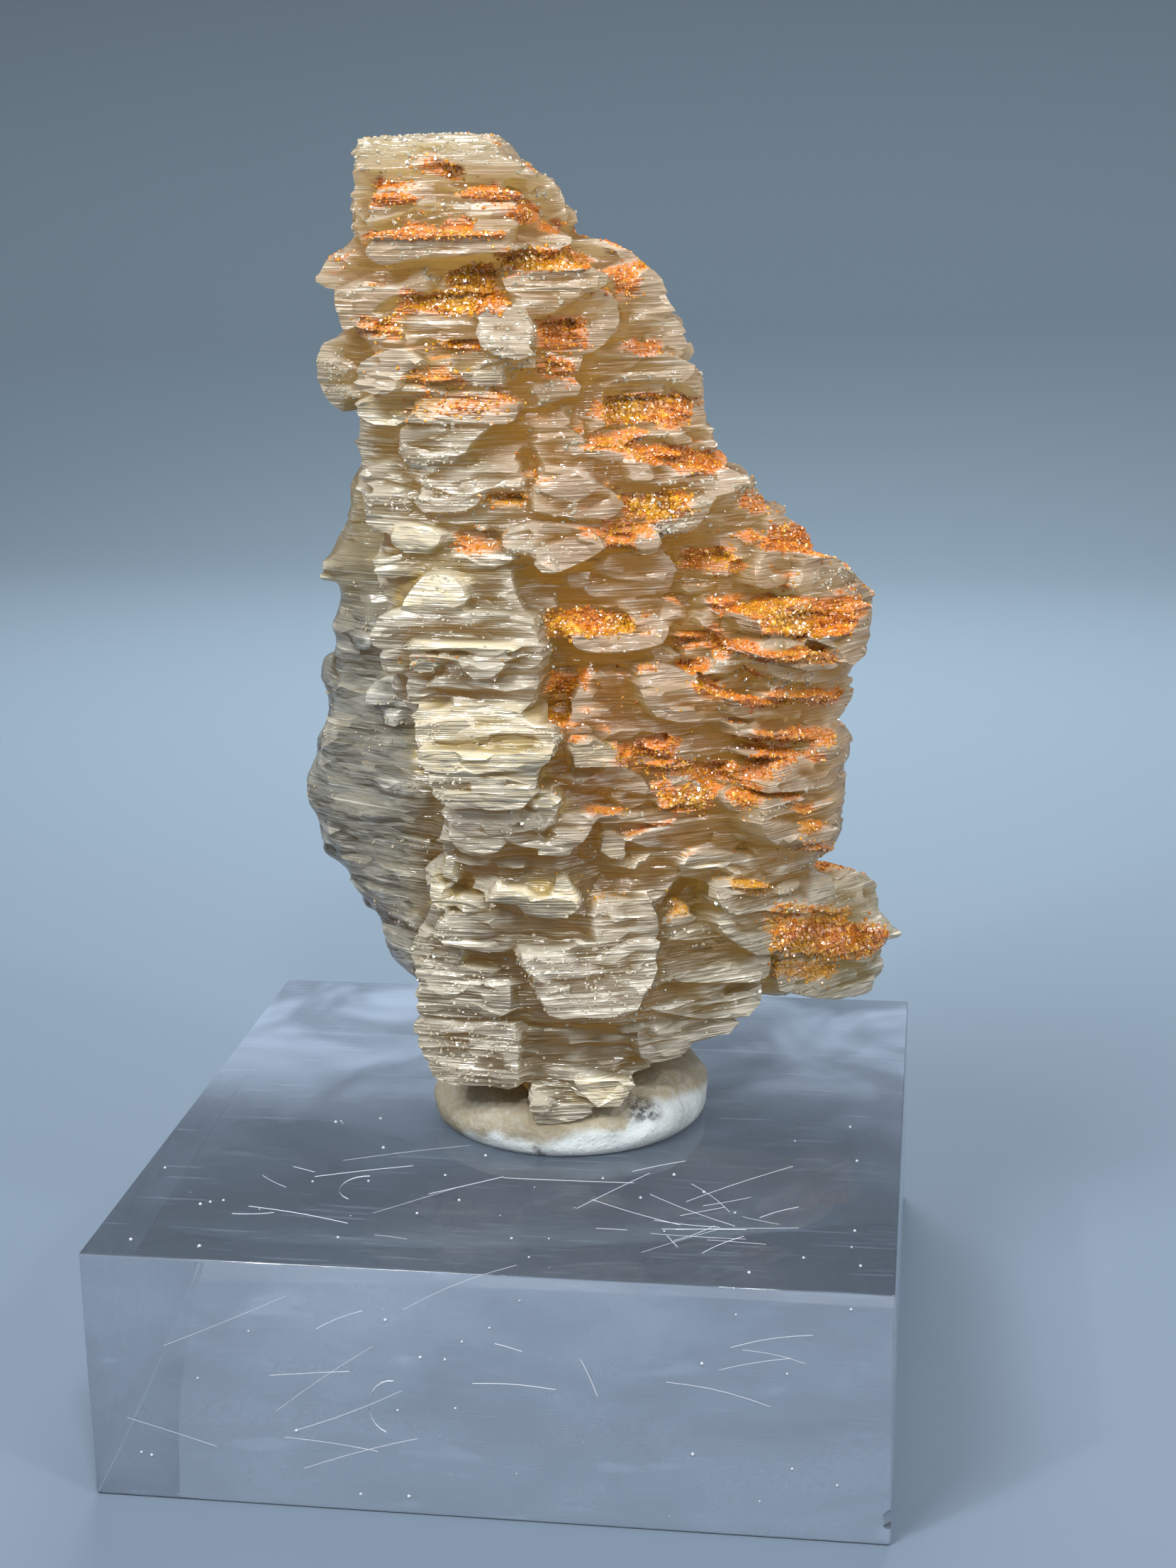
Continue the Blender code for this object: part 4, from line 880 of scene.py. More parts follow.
def growCrystal():
    core = makeCore()
    say("core of the crystal")
    skin = surfaceOf(core)
    grown = bmesh.new()
    grown.from_mesh(core.data)
    smallPlates(grown, skin)
    tracedPlates(grown, skin)
    seenLedges(grown)
    bpy.data.objects.remove(core)
    item = shape("cerussite_surface", grown)
    cutter = hollowCutters(surfaceOf(item))
    say("plates")
    stretched(item, crystal["stretch"])
    remesh(item, crystal["skin"])
    subtract(item, cutter)
    remesh(item, crystal["skin"])
    stretched(item, 1 / crystal["stretch"])
    keepLargest(item)
    points = readPoints(item.data)
    normals = readNormals(item.data)
    level = normals.copy()
    level[:, 2] = 0
    upright = np.clip(1.4 - 1.6 * np.abs(normals[:, 2]), 0, 1)[:, None]
    bands = bandSteps(points, 5)[:, None]
    rough = softNoise(points, relief["rough"], 9)[:, None]
    flakes = flakeSteps(points, 13)[:, None]
    calm = 1 - relief["calm"] * onRear(points)[:, None]
    points += upright * level * calm * (bands * relief["bandDepth"] + flakes * relief["flakeDepth"])
    points += level * rough * relief["roughDepth"]
    points[:, 2] *= crystal["stretch"]
    writePoints(item.data, points)
    near = ease(-9, 3, -points[:, 1] + 0.35 * points[:, 0])
    front = item.vertex_groups.new(name="front")
    steps = np.round(near * 10).astype(int)
    for step in range(1, 11):
        front.add(np.nonzero(steps == step)[0].tolist(), step / 10, "REPLACE")
    thin(item, crystal["triangles"], "front")
    stretched(item, 1 / crystal["stretch"])
    item.vertex_groups.clear()
    say("skin of the crystal")
    return item


# Coloured places, as read on the read plane: x from and to, z from and to, strength
patches = {"crust": (
    (-3.2, -0.1, 55.3, 56.1, 1.0), (-2.4, -0.3, 56.2, 57.3, 0.9), (0.2, 3.3, 57.2, 57.9, 1.0),
    (4.8, 8.8, 50.2, 51.4, 1.0), (5.6, 8.3, 45.8, 46.9, 1.0), (2.0, 6.0, 40.2, 41.2, 1.0),
    (12.1, 16.3, 40.3, 41.4, 1.0), (7.1, 9.4, 31.7, 32.8, 1.0), (12.8, 17.8, 24.5, 26.2, 0.9),
), "dust": (
    (-3.1, -1.7, 61.3, 61.9, 1.0), (-5.7, -4.4, 60.85, 61.15, 1.0), (-6.0, -3.8, 60.1, 60.5, 0.9),
    (-1.6, 0.9, 60.2, 60.7, 0.9), (0.8, 1.9, 59.2, 60.1, 1.0), (-2.3, -1.2, 58.8, 59.4, 0.9),
    (-6.2, 0.2, 58.5, 58.85, 0.9), (-4.6, -0.2, 55.2, 56.1, 0.9), (-6.8, -4.7, 54.2, 54.9, 0.9),
    (-2.9, -0.9, 53.5, 53.9, 0.7), (-4.6, -1.8, 51.9, 52.5, 0.6), (-4.8, 0.6, 50.3, 51.5, 0.35),
    (-1.0, 1.1, 46.1, 46.9, 0.5), (-2.6, -0.3, 43.9, 45.1, 0.4), (1.8, 3.6, 53.6, 54.9, 1.0),
    (5.3, 6.4, 55.9, 57.1, 1.0), (6.0, 7.6, 53.2, 53.8, 1.0), (1.9, 3.4, 52.4, 53.0, 1.0),
    (4.0, 6.0, 48.9, 49.6, 1.0), (6.0, 8.4, 48.4, 49.0, 1.0), (8.0, 10.1, 47.9, 48.8, 1.0),
    (4.4, 7.1, 44.9, 45.5, 0.9), (4.7, 6.2, 44.3, 44.8, 0.8), (8.6, 10.9, 43.3, 44.3, 1.0),
    (11.3, 12.0, 46.1, 46.8, 1.0), (12.3, 15.6, 44.2, 45.4, 0.9), (9.4, 10.9, 41.5, 42.0, 1.0),
    (7.8, 10.1, 40.0, 40.35, 1.0), (10.2, 11.4, 39.4, 39.95, 0.9), (12.0, 16.8, 41.0, 42.0, 0.8),
    (12.3, 15.5, 38.9, 39.5, 0.8), (12.6, 15.6, 37.1, 37.6, 0.7), (-4.9, 0.3, 38.8, 39.05, 0.3),
    (6.5, 8.6, 33.5, 34.1, 1.0), (8.6, 11.4, 33.2, 34.0, 1.0), (10.3, 12.0, 32.0, 32.9, 0.9),
    (6.2, 8.2, 34.3, 35.3, 0.8), (5.0, 6.2, 33.8, 34.9, 0.8), (2.0, 3.6, 37.4, 38.4, 0.7),
    (8.4, 9.6, 38.3, 39.0, 0.9), (9.1, 10.1, 37.4, 37.9, 1.0), (10.7, 12.7, 36.85, 37.2, 1.0),
    (11.8, 15.6, 35.2, 35.6, 0.9), (11.6, 15.1, 34.2, 34.6, 0.9), (7.1, 8.0, 30.8, 31.4, 0.6),
    (13.9, 15.0, 30.6, 31.3, 1.0), (13.6, 14.7, 31.6, 32.0, 0.9), (13.4, 15.6, 29.7, 30.1, 0.7),
    (10.6, 12.5, 27.5, 28.2, 0.5), (7.7, 8.5, 26.3, 27.5, 0.6), (12.4, 16.5, 26.0, 27.0, 0.6),
    (12.5, 15.6, 23.2, 24.2, 0.6), (15.0, 17.2, 25.2, 25.8, 0.9), (-1.9, 0.5, 63.0, 63.6, 0.8),
), "cream": (
    (-5.6, -2.0, 41.2, 43.0, 1.0), (-5.5, -3.0, 43.9, 45.4, 0.9), (-5.0, 0.5, 39.2, 39.7, 1.0),
    (-5.0, -3.4, 38.0, 38.9, 0.8), (-4.9, 2.4, 34.3, 36.7, 0.8), (-4.8, 2.2, 33.0, 34.5, 1.0),
    (-4.2, 1.2, 31.4, 33.0, 0.5), (0.8, 2.6, 31.3, 32.6, 1.0), (2.9, 5.4, 33.5, 35.1, 0.9),
    (-7.1, -4.4, 49.9, 51.4, 0.9), (-4.6, 0.2, 51.7, 53.3, 0.6), (-6.8, -4.2, 53.9, 54.9, 0.6),
    (0.8, 3.2, 25.9, 28.0, 1.0), (-1.4, 1.0, 26.5, 27.6, 0.8), (-3.6, -1.3, 26.1, 27.1, 0.7),
    (-4.3, -3.1, 26.2, 28.1, 0.9), (-3.5, -2.8, 27.5, 28.9, 0.9), (3.1, 6.0, 16.2, 17.6, 1.0),
    (4.0, 7.0, 28.2, 29.8, 0.6), (8.2, 10.7, 28.5, 29.0, 0.8), (0.1, 1.6, 52.6, 53.1, 0.8),
    (12.1, 15.8, 38.6, 40.1, 0.8), (-6.9, 0.6, 42.8, 44.0, 0.4), (5.6, 8.3, 52.0, 53.0, 0.3),
), "clear": (
    (-6.8, 0.2, 61.9, 63.5, 1.0), (-6.6, -1.2, 59.0, 60.2, 0.5), (-5.4, -1.6, 40.2, 41.2, 0.8),
    (-5.4, 0.2, 16.8, 20.5, 0.8), (1.0, 7.2, 20.7, 22.9, 0.7), (-0.4, 4.0, 22.4, 24.0, 0.8),
    (0.4, 1.8, 15.4, 16.4, 0.6), (-1.2, 1.5, 53.0, 55.7, 0.6), (9.1, 11.8, 38.2, 39.4, 0.5),
    (-5.4, -1.0, 21.8, 23.2, 0.5), (-4.1, -1.0, 45.9, 47.8, 0.6), (7.2, 10.0, 45.0, 46.8, 0.5),
)}

# Screen colours
tones = {name: tint(*screen) for name, screen in {
    "greenGrey": (172, 168, 146), "peach": (212, 152, 84), "mauve": (200, 152, 112), "pale": (236, 230, 214),
    # Honey and olive are the painted shade in the crystal's hollows, and also darken random layers and flakes
    "smoke": (160, 162, 154), "cream": (216, 190, 116), "honey": (150, 88, 16), "olive": (116, 96, 44),
    "orange": (194, 106, 8), "gold": (178, 122, 6), "amber": (238, 176, 52), "rust": (140, 64, 4),
    "chipLight": (240, 232, 210), "chipDark": (214, 200, 168), "putty": (188, 196, 198),
    "puttyDull": (166, 172, 172), "puttyWarm": (160, 158, 146), "darkNearCrystal": (128, 112, 84),
    "dirt": (134, 124, 100), "pore": (110, 110, 106), "smudge": (48, 48, 50), "crack": (70, 70, 72),
    "blueLitFilm": (158, 176, 198), "markLight": (228, 232, 240), "markDark": (190, 196, 208),
    # The floor and wall tones paint the fall of light over the backdrop: darker near the front and up the wall,
    # lighter far back
    "floorNearShade": (100, 114, 130), "floorFarLight": (138, 158, 174), "wall": (80, 88, 100),
}.items()}

paint = {
    "rays": 7,                # tried from each point, to find how sheltered it is
    "reach": 2.2,
    "skin": 0.2,              # depth behind the seen surface that still counts as seen
    "fade": 1.2,
    "rim": (0.015, 0.11),     # how far an edge stands out
    "rimRounds": 14,
}


def onReadPlane(points):
    # Where each point is seen on the read plane
    ahead = points - np.array(eye)
    far = np.where(np.abs(ahead[:, 1]) < 1, 1, ahead[:, 1])
    places = np.array(eye) + ahead * ((crystal["readPlane"] - eye.y) / far)[:, None]
    return places[:, 0], places[:, 2]


def between(low, high, soft, values):
    # 1 from low to high, with soft ends
    return ease(low - soft, low + soft, values) * ease(-high - soft, -high + soft, -values)


def patchMask(points, name, shown):
    across, up = onReadPlane(points)
    across = across + 0.35 * softNoise(points, 0.7, 31) + 0.15 * softNoise(points, 0.25, 33)
    up = up + 0.16 * softNoise(points, 0.6, 35) + 0.1 * softNoise(points, 0.25, 37)
    total = np.zeros(len(points))
    for left, right, low, top, strength in patches[name]:
        inside = between(left, right, 0.25, across) * between(low, top, 0.15, up)
        total = np.maximum(total, inside * strength)
    return total * shown


def shelter(points, normals, tree):
    # Share of the rays round each normal that meet the crystal again nearby
    turns = np.random.RandomState(3).normal(size=(paint["rays"], 3))
    turns /= np.linalg.norm(turns, axis=1)[:, None]
    hits = np.zeros(len(points))
    starts = [Vector(point) for point in points + normals * 0.06]
    for turn in turns:
        rays = normals + 0.85 * turn
        for index, (start, ray) in enumerate(zip(starts, rays)):
            if tree.ray_cast(start, Vector(ray), paint["reach"])[0] is not None:
                hits[index] += 1
    return hits / len(turns)


def shownShare(points, tree):
    # 1 where the camera sees the point, less the deeper it lies behind what is seen
    shown = np.zeros(len(points))
    for index, point in enumerate(points):
        ray = Vector(point) - eye
        distance = ray.length
        hit = tree.ray_cast(eye, ray)
        if hit[0] is not None:
            behind = distance - hit[3] - paint["skin"]
            shown[index] = math.exp(-max(0.0, behind) / paint["fade"])
    return shown


def paintCrystal(item):
    # Masks on the points: what colour, how milky, how dusty
    points = readPoints(item.data)
    normals = readNormals(item.data)
    tree = surfaceOf(item)
    across, up = onReadPlane(points)
    shown = shownShare(points, tree)
    say("what the camera sees")
    # The share found here helps place dust, and in the material it paints shade into the hollows
    sheltered = shelter(points, normals, tree)
    say("sheltered places")
    rim = ease(*paint["rim"], bulge(item.data, points, paint["rimRounds"]))
    ledge = ease(0.35, 0.8, normals[:, 2])
    wide = softNoise(points, 5.0, 41)
    fine = softNoise(points, (0.9, 0.9, 0.5), 43)
    rightness = ease(-1.5, 3.5, across + 0.12 * (up - 45) + 0.9 * wide)
    warm = ease(24, 36, up + 2 * wide) * np.maximum(rightness, ease(50, 57, up + wide))
    dust, crust, cream, clear = (patchMask(points, name, shown) for name in ("dust", "crust", "cream", "clear"))
    patched = np.maximum(dust, crust)
    loose = warm * ease(0.0, 0.5, fine + 0.4 * wide + 0.3 * sheltered) * np.maximum(ledge, 0.8 * sheltered)
    broken = ease(0.2, 0.9, softNoise(points, (1.3, 1.3, 0.7), 45)) * ease(0.25, 0.6, 1 - np.abs(normals[:, 2]))
    for name, values in {
            "dust": patched * ease(-0.9, -0.2, fine + 0.5 * patched) + 0.8 * loose,
            "crust": crust, "warm": warm, "cream": cream, "clear": clear,
            "sheltered": sheltered, "rim": rim,
            "smoke": onRear(points) * ease(-48, -38, -up),
            "high": ease(46, 60, up),
            "glint": shown * (0.35 * clear + 0.7 * rim * broken + 0.2 * broken) * (1 - 0.8 * patched)}.items():
        writeMask(item.data, name, values)


crystalFinish = {
    "milk": 0.14,             # share of the light that the surface scatters where it is neither clear nor dusty
    "ior": 1.9,
    "milkIor": 1.7,
    "absorb": (0.945, 0.82, 0.42),
    "density": 340.0,
    "glow": (0.98, 0.9, 0.68),
    "glowShare": 0.45,        # of the light that goes in, this share goes every way
    "layers": 3.2,            # thin layers per millimetre of height
    "flakes": (0.55, 0.55, 2.2),
}


def crystalMaterial():
    nodes = Nodes("cerussite")
    place = nodes.place()
    cloud = nodes.noise(place, 0.35, 1)
    fleck = nodes.noise(nodes.place((1, 1, 3)), 1.6, 1, 0.65)
    striae = nodes.noise(nodes.place((0.2, 0.2, 6.5)), 1.0, 2, 0.65)
    grain = nodes.noise(place, 6.0, 0)
    layer = nodes.axis(place, 2) * crystalFinish["layers"] + cloud * 4
    step = layer.math("FRACT", 0)
    shade = nodes.make("ShaderNodeTexWhiteNoise", {"noise_dimensions": "1D"}, {"W": layer - step})
    spots = nodes.place(crystalFinish["flakes"])
    flake = nodes.make("ShaderNodeTexVoronoi", {}, {"Vector": spots, "Scale": 1.0, "Randomness": 1.0})
    chance = flake.other(1)
    offset = nodes.vector("SUBTRACT", spots, flake.other(2))
    slope = nodes.vector("SUBTRACT", chance, (0.5, 0.5, 0.5))
    tilt = nodes.vector("DOT_PRODUCT", offset, slope, 1)
    lucky = nodes.axis(chance, 0)
    warm, cream, clear, dust, sheltered, rim, smoke, high = nodes.masks(
        "warm cream clear dust sheltered rim smoke high")
    peach = nodes.mix(nodes.ramp(cloud, 0.35, 0.65), tones["peach"], tones["mauve"])
    colour = nodes.mix(warm, tones["greenGrey"], peach)
    colour = nodes.mix(smoke * 0.85, colour, tones["smoke"])
    colour = nodes.mix(high * 0.35, colour, tones["pale"])
    colour = nodes.mix(cream * nodes.ramp(fleck, 0.3, 0.6, 0.3, 0.95), colour, tones["cream"])
    # Painted shade: where rays from a point meet the crystal again nearby, in its hollows, the colour darkens
    # toward olive, and toward honey in the warm places. The same dark tone is also mixed at random into single
    # layers and flakes.
    shadeAndFlakeTone = nodes.mix(warm, tones["olive"], tones["honey"])
    colour = nodes.mix(nodes.ramp(sheltered, 0.05, 0.75, 0.0, 0.9), colour, shadeAndFlakeTone)
    colour = nodes.mix(shade * 0.3 + lucky * 0.3, colour, shadeAndFlakeTone)
    # Painted highlight: the thin layer lines turn pale, and so do raised edges, which are partly painted
    # highlight and partly the edges' real whitish frosting; the clear places turn pale as well.
    line = nodes.ramp(striae, 0.6, 0.68)
    colour = nodes.mix(line * 0.4 + rim * 0.5 + clear * 0.55, colour, tones["pale"])
    golden = nodes.mix(nodes.ramp(cloud + warm * 0.4, 0.5, 0.8), tones["gold"], tones["orange"])
    dusted = nodes.ramp(dust, 0.05, 0.5) * (0.6 + 0.4 * nodes.ramp(grain, 0.35, 0.6))
    colour = nodes.mix(dusted, colour, golden)
    height = tilt * 2.0 + striae * (0.9 - 0.6 * smoke) + fleck * 0.3
    height = height + step * 0.6 + shade * 0.5 + grain * 0.15 * dust
    normal = nodes.bump(height, 0.22, 0.9)
    frost = nodes.ramp(cloud + 0.3 * shade - 0.4 * clear, 0.35, 0.75, 0.03, 0.22)
    glass = nodes.principled(
        Base_Color=nodes.mix(0.25, colour, (1, 1, 1)), Roughness=frost, Normal=normal,
        IOR=crystalFinish["ior"], Transmission_Weight=1.0)
    milky = nodes.principled(
        Base_Color=colour, Roughness=0.12 + 0.4 * dusted, Normal=normal, IOR=crystalFinish["milkIor"])
    milk = crystalFinish["milk"] + 0.2 * rim + 0.2 * cream + 0.7 * dusted - 0.1 * clear
    milk = milk + 0.35 * smoke + 0.12 * (1 - warm) + 0.25 * line + 0.12 * lucky
    glow = nodes.make("ShaderNodeBsdfTranslucent", {}, {"Color": crystalFinish["glow"]})
    within = nodes.blendShaders(crystalFinish["glowShare"], glass, glow)
    surface = nodes.blendShaders(nodes.ramp(milk, 0.0, 1.0), within, milky)
    inside = nodes.make("ShaderNodeVolumeAbsorption", {}, {
        "Color": crystalFinish["absorb"], "Density": crystalFinish["density"]})
    return nodes.finish(surface, inside)


crystalPiece = growCrystal()
paintCrystal(crystalPiece)
soften(crystalPiece, 35)
say("colours of the crystal")


# Wulfenite: tiny tablets over the crusts and ledges, and the crystal's own small broken faces

grains = {
    "wulfenite_crusts": {"mask": "crust", "power": 2, "count": 4200, "sizes": (0.12, 0.28), "seed": 51},
    "wulfenite_dust": {"mask": "dust", "power": 1.5, "count": 12000, "sizes": (0.08, 0.2), "seed": 52},
    "cerussite_chips": {"mask": "glint", "power": 1, "count": 2600, "sizes": (0.08, 0.22), "seed": 53},
}

tablet = {
    "foot": 0.7, "top": 0.5, "high": 0.55,
    "stand": 0.28,            # its middle's height over the surface, before it is sunk
    "sunk": 0.3,              # share of half its size that lies below the surface
    "lean": 0.35,
    "narrowest": 0.7,
}


def sowGrains(name):
    # Tablets on the crystal's surface, thick where the mask is high
    kind = grains[name]
    mesh = crystalPiece.data
    seeds = np.random.RandomState(kind["seed"])
    points = readPoints(mesh)
    mesh.calc_loop_triangles()
    corners = readRows(mesh.loop_triangles, "vertices", np.int32, 3)
    values = readRows(mesh.attributes[kind["mask"]].data, "value", np.float32, 1)[:, 0]
    first, second, third = (points[corners[:, side]] for side in range(3))
    cross = np.cross(second - first, third - first)
    area = np.linalg.norm(cross, axis=1) / 2
    chance = np.cumsum(area * values[corners].mean(axis=1) ** kind["power"])
    picks = np.searchsorted(chance, seeds.uniform(0, chance[-1], kind["count"]))
    bm = bmesh.new()
    bmesh.ops.create_cone(bm, cap_ends=True, segments=4, radius1=tablet["foot"], radius2=tablet["top"],
                          depth=tablet["high"])
    pattern = bpy.data.meshes.new("tablet")
    bm.to_mesh(pattern)
    bm.free()
    total = bmesh.new()
    for pick in picks:
        shares = seeds.dirichlet((1, 1, 1))
        spot = shares @ points[corners[pick]]
        out = Vector(cross[pick]).normalized() + Vector(seeds.normal(0, tablet["lean"], 3))
        size = seeds.uniform(*kind["sizes"]) * (0.7 + 0.3 * seeds.uniform())
        upright = out.to_track_quat("Z", "Y").to_matrix().to_4x4()
        turned = upright @ Matrix.Rotation(seeds.uniform(0, 3.14), 4, "Z")
        lift = tablet["stand"] - tablet["sunk"] * 0.5
        place = Matrix.Translation(Vector(spot) + out.normalized() * size * lift)
        narrow = size * seeds.uniform(tablet["narrowest"], 1.0)
        copy = pattern.copy()
        copy.transform(place @ turned @ Matrix.Diagonal((size, narrow, size, 1)))
        total.from_mesh(copy)
        bpy.data.meshes.remove(copy)
    return shape(name, total)


def wulfeniteMaterial():
    nodes = Nodes("wulfenite")
    place = nodes.place()
    grain = nodes.noise(place, 3.5, 1)
    colour = nodes.mix(nodes.ramp(nodes.noise(place, 0.25, 1), 0.4, 0.6), tones["orange"], tones["gold"])
    colour = nodes.mix(nodes.ramp(grain, 0.5, 0.75), colour, tones["amber"])
    colour = nodes.mix(nodes.ramp(grain, 0.45, 0.25), colour, tones["rust"])
    normal = nodes.bump(nodes.noise(place, 12, 1), 0.02, 0.6)
    return nodes.finish(nodes.principled(
        Base_Color=colour, Roughness=0.12 + 0.2 * grain, Normal=normal, IOR=2.2))


def chipMaterial():
    nodes = Nodes("chips")
    cloud = nodes.noise(nodes.place(), 0.5, 1)
    colour = nodes.mix(cloud, tones["chipLight"], tones["chipDark"])
    return nodes.finish(nodes.principled(
        Base_Color=colour, Roughness=0.03 + 0.1 * cloud, IOR=2.0, Transmission_Weight=0.5))


wulfenite = wulfeniteMaterial()
crustPiece, dustPiece, chipPiece = (sowGrains(name) for name in grains)
say("grains")
crusts = [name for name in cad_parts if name.startswith("wulfenite_crust")]
finished(crystalPiece, "cerussite", crystalMaterial(), "cerussite")
finished(crustPiece, "wulfenite", wulfenite, *crusts)
finished(dustPiece, "wulfenite", wulfenite)
finished(chipPiece, "cerussite", chipMaterial())


# Putty: a pressed white bun round the foot

putty = {
    "grain": 0.22,
    "low": 12.72,             # just over the block's top
    "middle": 13.75,
    "wide": 0.985,            # of the solid's box
    "tall": 2.6,
    "free": (0.1, 1.0),       # the lumps begin and are full this far above its foot
    "lumps": ((1.0, 3.2, 61), (0.4, 1.1, 62), (0.15, 0.45, 63)),
    "lumpDepth": 0.28,
    "rearRise": 0.8,
    "clearance": 0.06,        # between the putty and the crystal pressed into it
    "footLine": ((-7, 13.4), (-2.8, 14.2), (0, 14.1), (0.9, 13.6), (2.9, 14.5), (5.3, 14.9), (5.8, 16),
                 (9.9, 17.4)),
    "crack": ((0.8, 13.7), (2.0, 12.2)),
    "smudge": (6.3, 16.1),
}


def makePutty():
    low, high = (Vector(corner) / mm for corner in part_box("mounting_putty"))
    middle = (low + high) / 2
    half = (high - low) / 2
    bm = bmesh.new()
    bmesh.ops.create_uvsphere(bm, u_segments=72, v_segments=36, radius=1.0)
    bmesh.ops.scale(bm, vec=(half.x * putty["wide"], half.y * putty["wide"], putty["tall"]), verts=bm.verts)
    bmesh.ops.translate(bm, vec=(middle.x, middle.y, putty["middle"]), verts=bm.verts)
    flat = bmesh.ops.bisect_plane(bm, geom=bm.verts[:] + bm.edges[:] + bm.faces[:],
                                  plane_co=(0, 0, putty["low"]), plane_no=(0, 0, -1), clear_outer=True)
    bmesh.ops.contextual_create(bm, geom=parts(flat, bmesh.types.BMEdge, "geom_cut"))
    item = shape("putty_bun", bm)
    remesh(item, putty["grain"])
    points = readPoints(item.data)
    normals = readNormals(item.data)
    starts, full = putty["free"]
    free = ease(putty["low"] + starts, putty["low"] + full, points[:, 2])
    lumps = sum(share * softNoise(points, size, seed) for share, size, seed in putty["lumps"])
    rise = putty["rearRise"] * ease(1, 8, points[:, 0] + 0.6 * points[:, 1]) * free
    points += normals * (free * (putty["lumpDepth"] * lumps - 0.1))[:, None]
    points[:, 2] += rise * ease(13.5, 15.5, points[:, 2])
    points[:, 2] = np.minimum(points[:, 2], high.z + 0.3)
    writePoints(item.data, points)
    foot = bmesh.new()
    foot.from_mesh(crystalPiece.data)
    bmesh.ops.scale(foot, vec=(1 / mm,) * 3, verts=foot.verts)
    cutter = shape("foot", foot)
    swell(cutter, putty["clearance"])
    subtract(item, cutter)
    keepLargest(item)
    soften(item, 40)
    return item


def paintPutty(item):
    # Darker near the crystal and above the line where its foot meets the putty, a crack and a dark smudge
    points = readPoints(item.data)
    tree = BVHTree.FromPolygons([Vector(vert.co) / mm for vert in crystalPiece.data.vertices],
                                [tuple(face.vertices) for face in crystalPiece.data.polygons])
    close = np.array([tree.find_nearest(Vector(point))[3] for point in points])
    across, up = onReadPlane(points)
    reads = np.stack((across, up), 1)
    wander = 0.35 * softNoise(points, 0.8, 64)
    edge = np.interp(across, *zip(*putty["footLine"]))
    start, end = (np.array(spot) for spot in putty["crack"])
    share = np.clip((reads - start) @ (end - start) / ((end - start) @ (end - start)), 0, 1)
    gap = np.linalg.norm(reads - start - share[:, None] * (end - start), axis=1)
    spot = np.linalg.norm((reads - np.array(putty["smudge"])) / (1.0, 0.8), axis=1)
    for name, values in {
            "near": ease(-1.0, -0.1, -close) * ease(13.2, 14.4, points[:, 2]),
            "dirt": ease(-0.15, 0.45, up - edge + wander) * ease(-8, 0, -points[:, 1]),
            "crack": ease(-0.24, -0.02, -gap + 0.1 * wander) * (points[:, 1] < 0),
            "smudge": ease(-1.1, -0.2, -spot + 1.2 * wander) * (points[:, 1] < 2)}.items():
        writeMask(item.data, name, values)


def puttyMaterial():
    nodes = Nodes("putty")
    place = nodes.place()
    broad = nodes.noise(place, 0.3, 4)
    fine = nodes.noise(place, 3.0, 5, 0.65)
    pore = nodes.noise(place, 9.0, 2)
    near, dirt, crack, smudge = nodes.masks("near dirt crack smudge")
    colour = nodes.mix(nodes.ramp(broad, 0.35, 0.7), tones["putty"], tones["puttyDull"])
    for share, name in (
            (nodes.ramp(fine, 0.55, 0.75, 0.0, 0.5), "puttyWarm"),
            (near * nodes.ramp(broad + fine * 0.4, 0.45, 0.8, 0.3, 0.9), "darkNearCrystal"),
            (dirt * nodes.ramp(fine, 0.3, 0.6, 0.7, 0.95), "dirt"),
            (nodes.ramp(pore, 0.66, 0.72, 0.0, 0.6), "pore"),
            (smudge * nodes.ramp(fine, 0.4, 0.6, 0.2, 0.95), "smudge"),
            (crack * 0.9, "crack")):
        colour = nodes.mix(share, colour, tones[name])
    normal = nodes.bump(broad * 0.3 + fine * 0.6 + pore * 0.12, 0.22, 0.7)
    return nodes.finish(nodes.principled(Base_Color=colour, Roughness=0.62 + 0.2 * fine, Normal=normal))


puttyPiece = makePutty()
paintPutty(puttyPiece)
finished(puttyPiece, "putty", puttyMaterial(), "mounting_putty")
say("putty")


# Clear block with soft edges, small chips, scratches and lint

block = {
    "edge": 0.14,
    "chips": ((19.05, -19.05, 1.2, 0.8), (-19.05, -19.05, 12.7, 0.35), (19.05, -6.0, 12.7, 0.3),
              (-19.05, 4.0, 12.7, 0.35), (6.0, -19.05, 12.7, 0.22), (19.05, -19.05, 9.0, 0.3)),
    "haze": 0.12,             # on the top; the sawn sides are milkier
    "sideHaze": 0.42,
    "ior": 1.49,
}

# Scratches, hairs and lint; a range is a draw between its ends
marks = {
    "top": 12.7, "front": -19.05,
    "count": 46, "onTop": 30, "inCluster": 14,
    "long": (1.2, 7), "wide": (0.02, 0.045),
    "slanted": 0.7, "slant": (-0.5, 0.9),
    "cluster": ((10.5, 2.8), (-13.5, 2.0)),
    "topArea": ((-14, 14), (-17, -7)), "frontArea": ((-16, 13), (2, 11)),
    "sway": (-0.05, 0.05),
    "hairs": (((-7.3, -10.5, 12.7), 1.2, 1.6, 4.3, (0, 0, 1)),
              ((-4.2, -19.05, 5.6), 1.15, 1.5, 4.4, (0, -1, 0))),
    "hairWide": 0.07,
    "lint": 70, "lintSize": (0.03, 0.1), "lintOnFront": 0.35,
    "lintTop": ((-18, 18), (-18.5, 0)), "lintFront": ((-18, 18), (0.5, 12)),
}


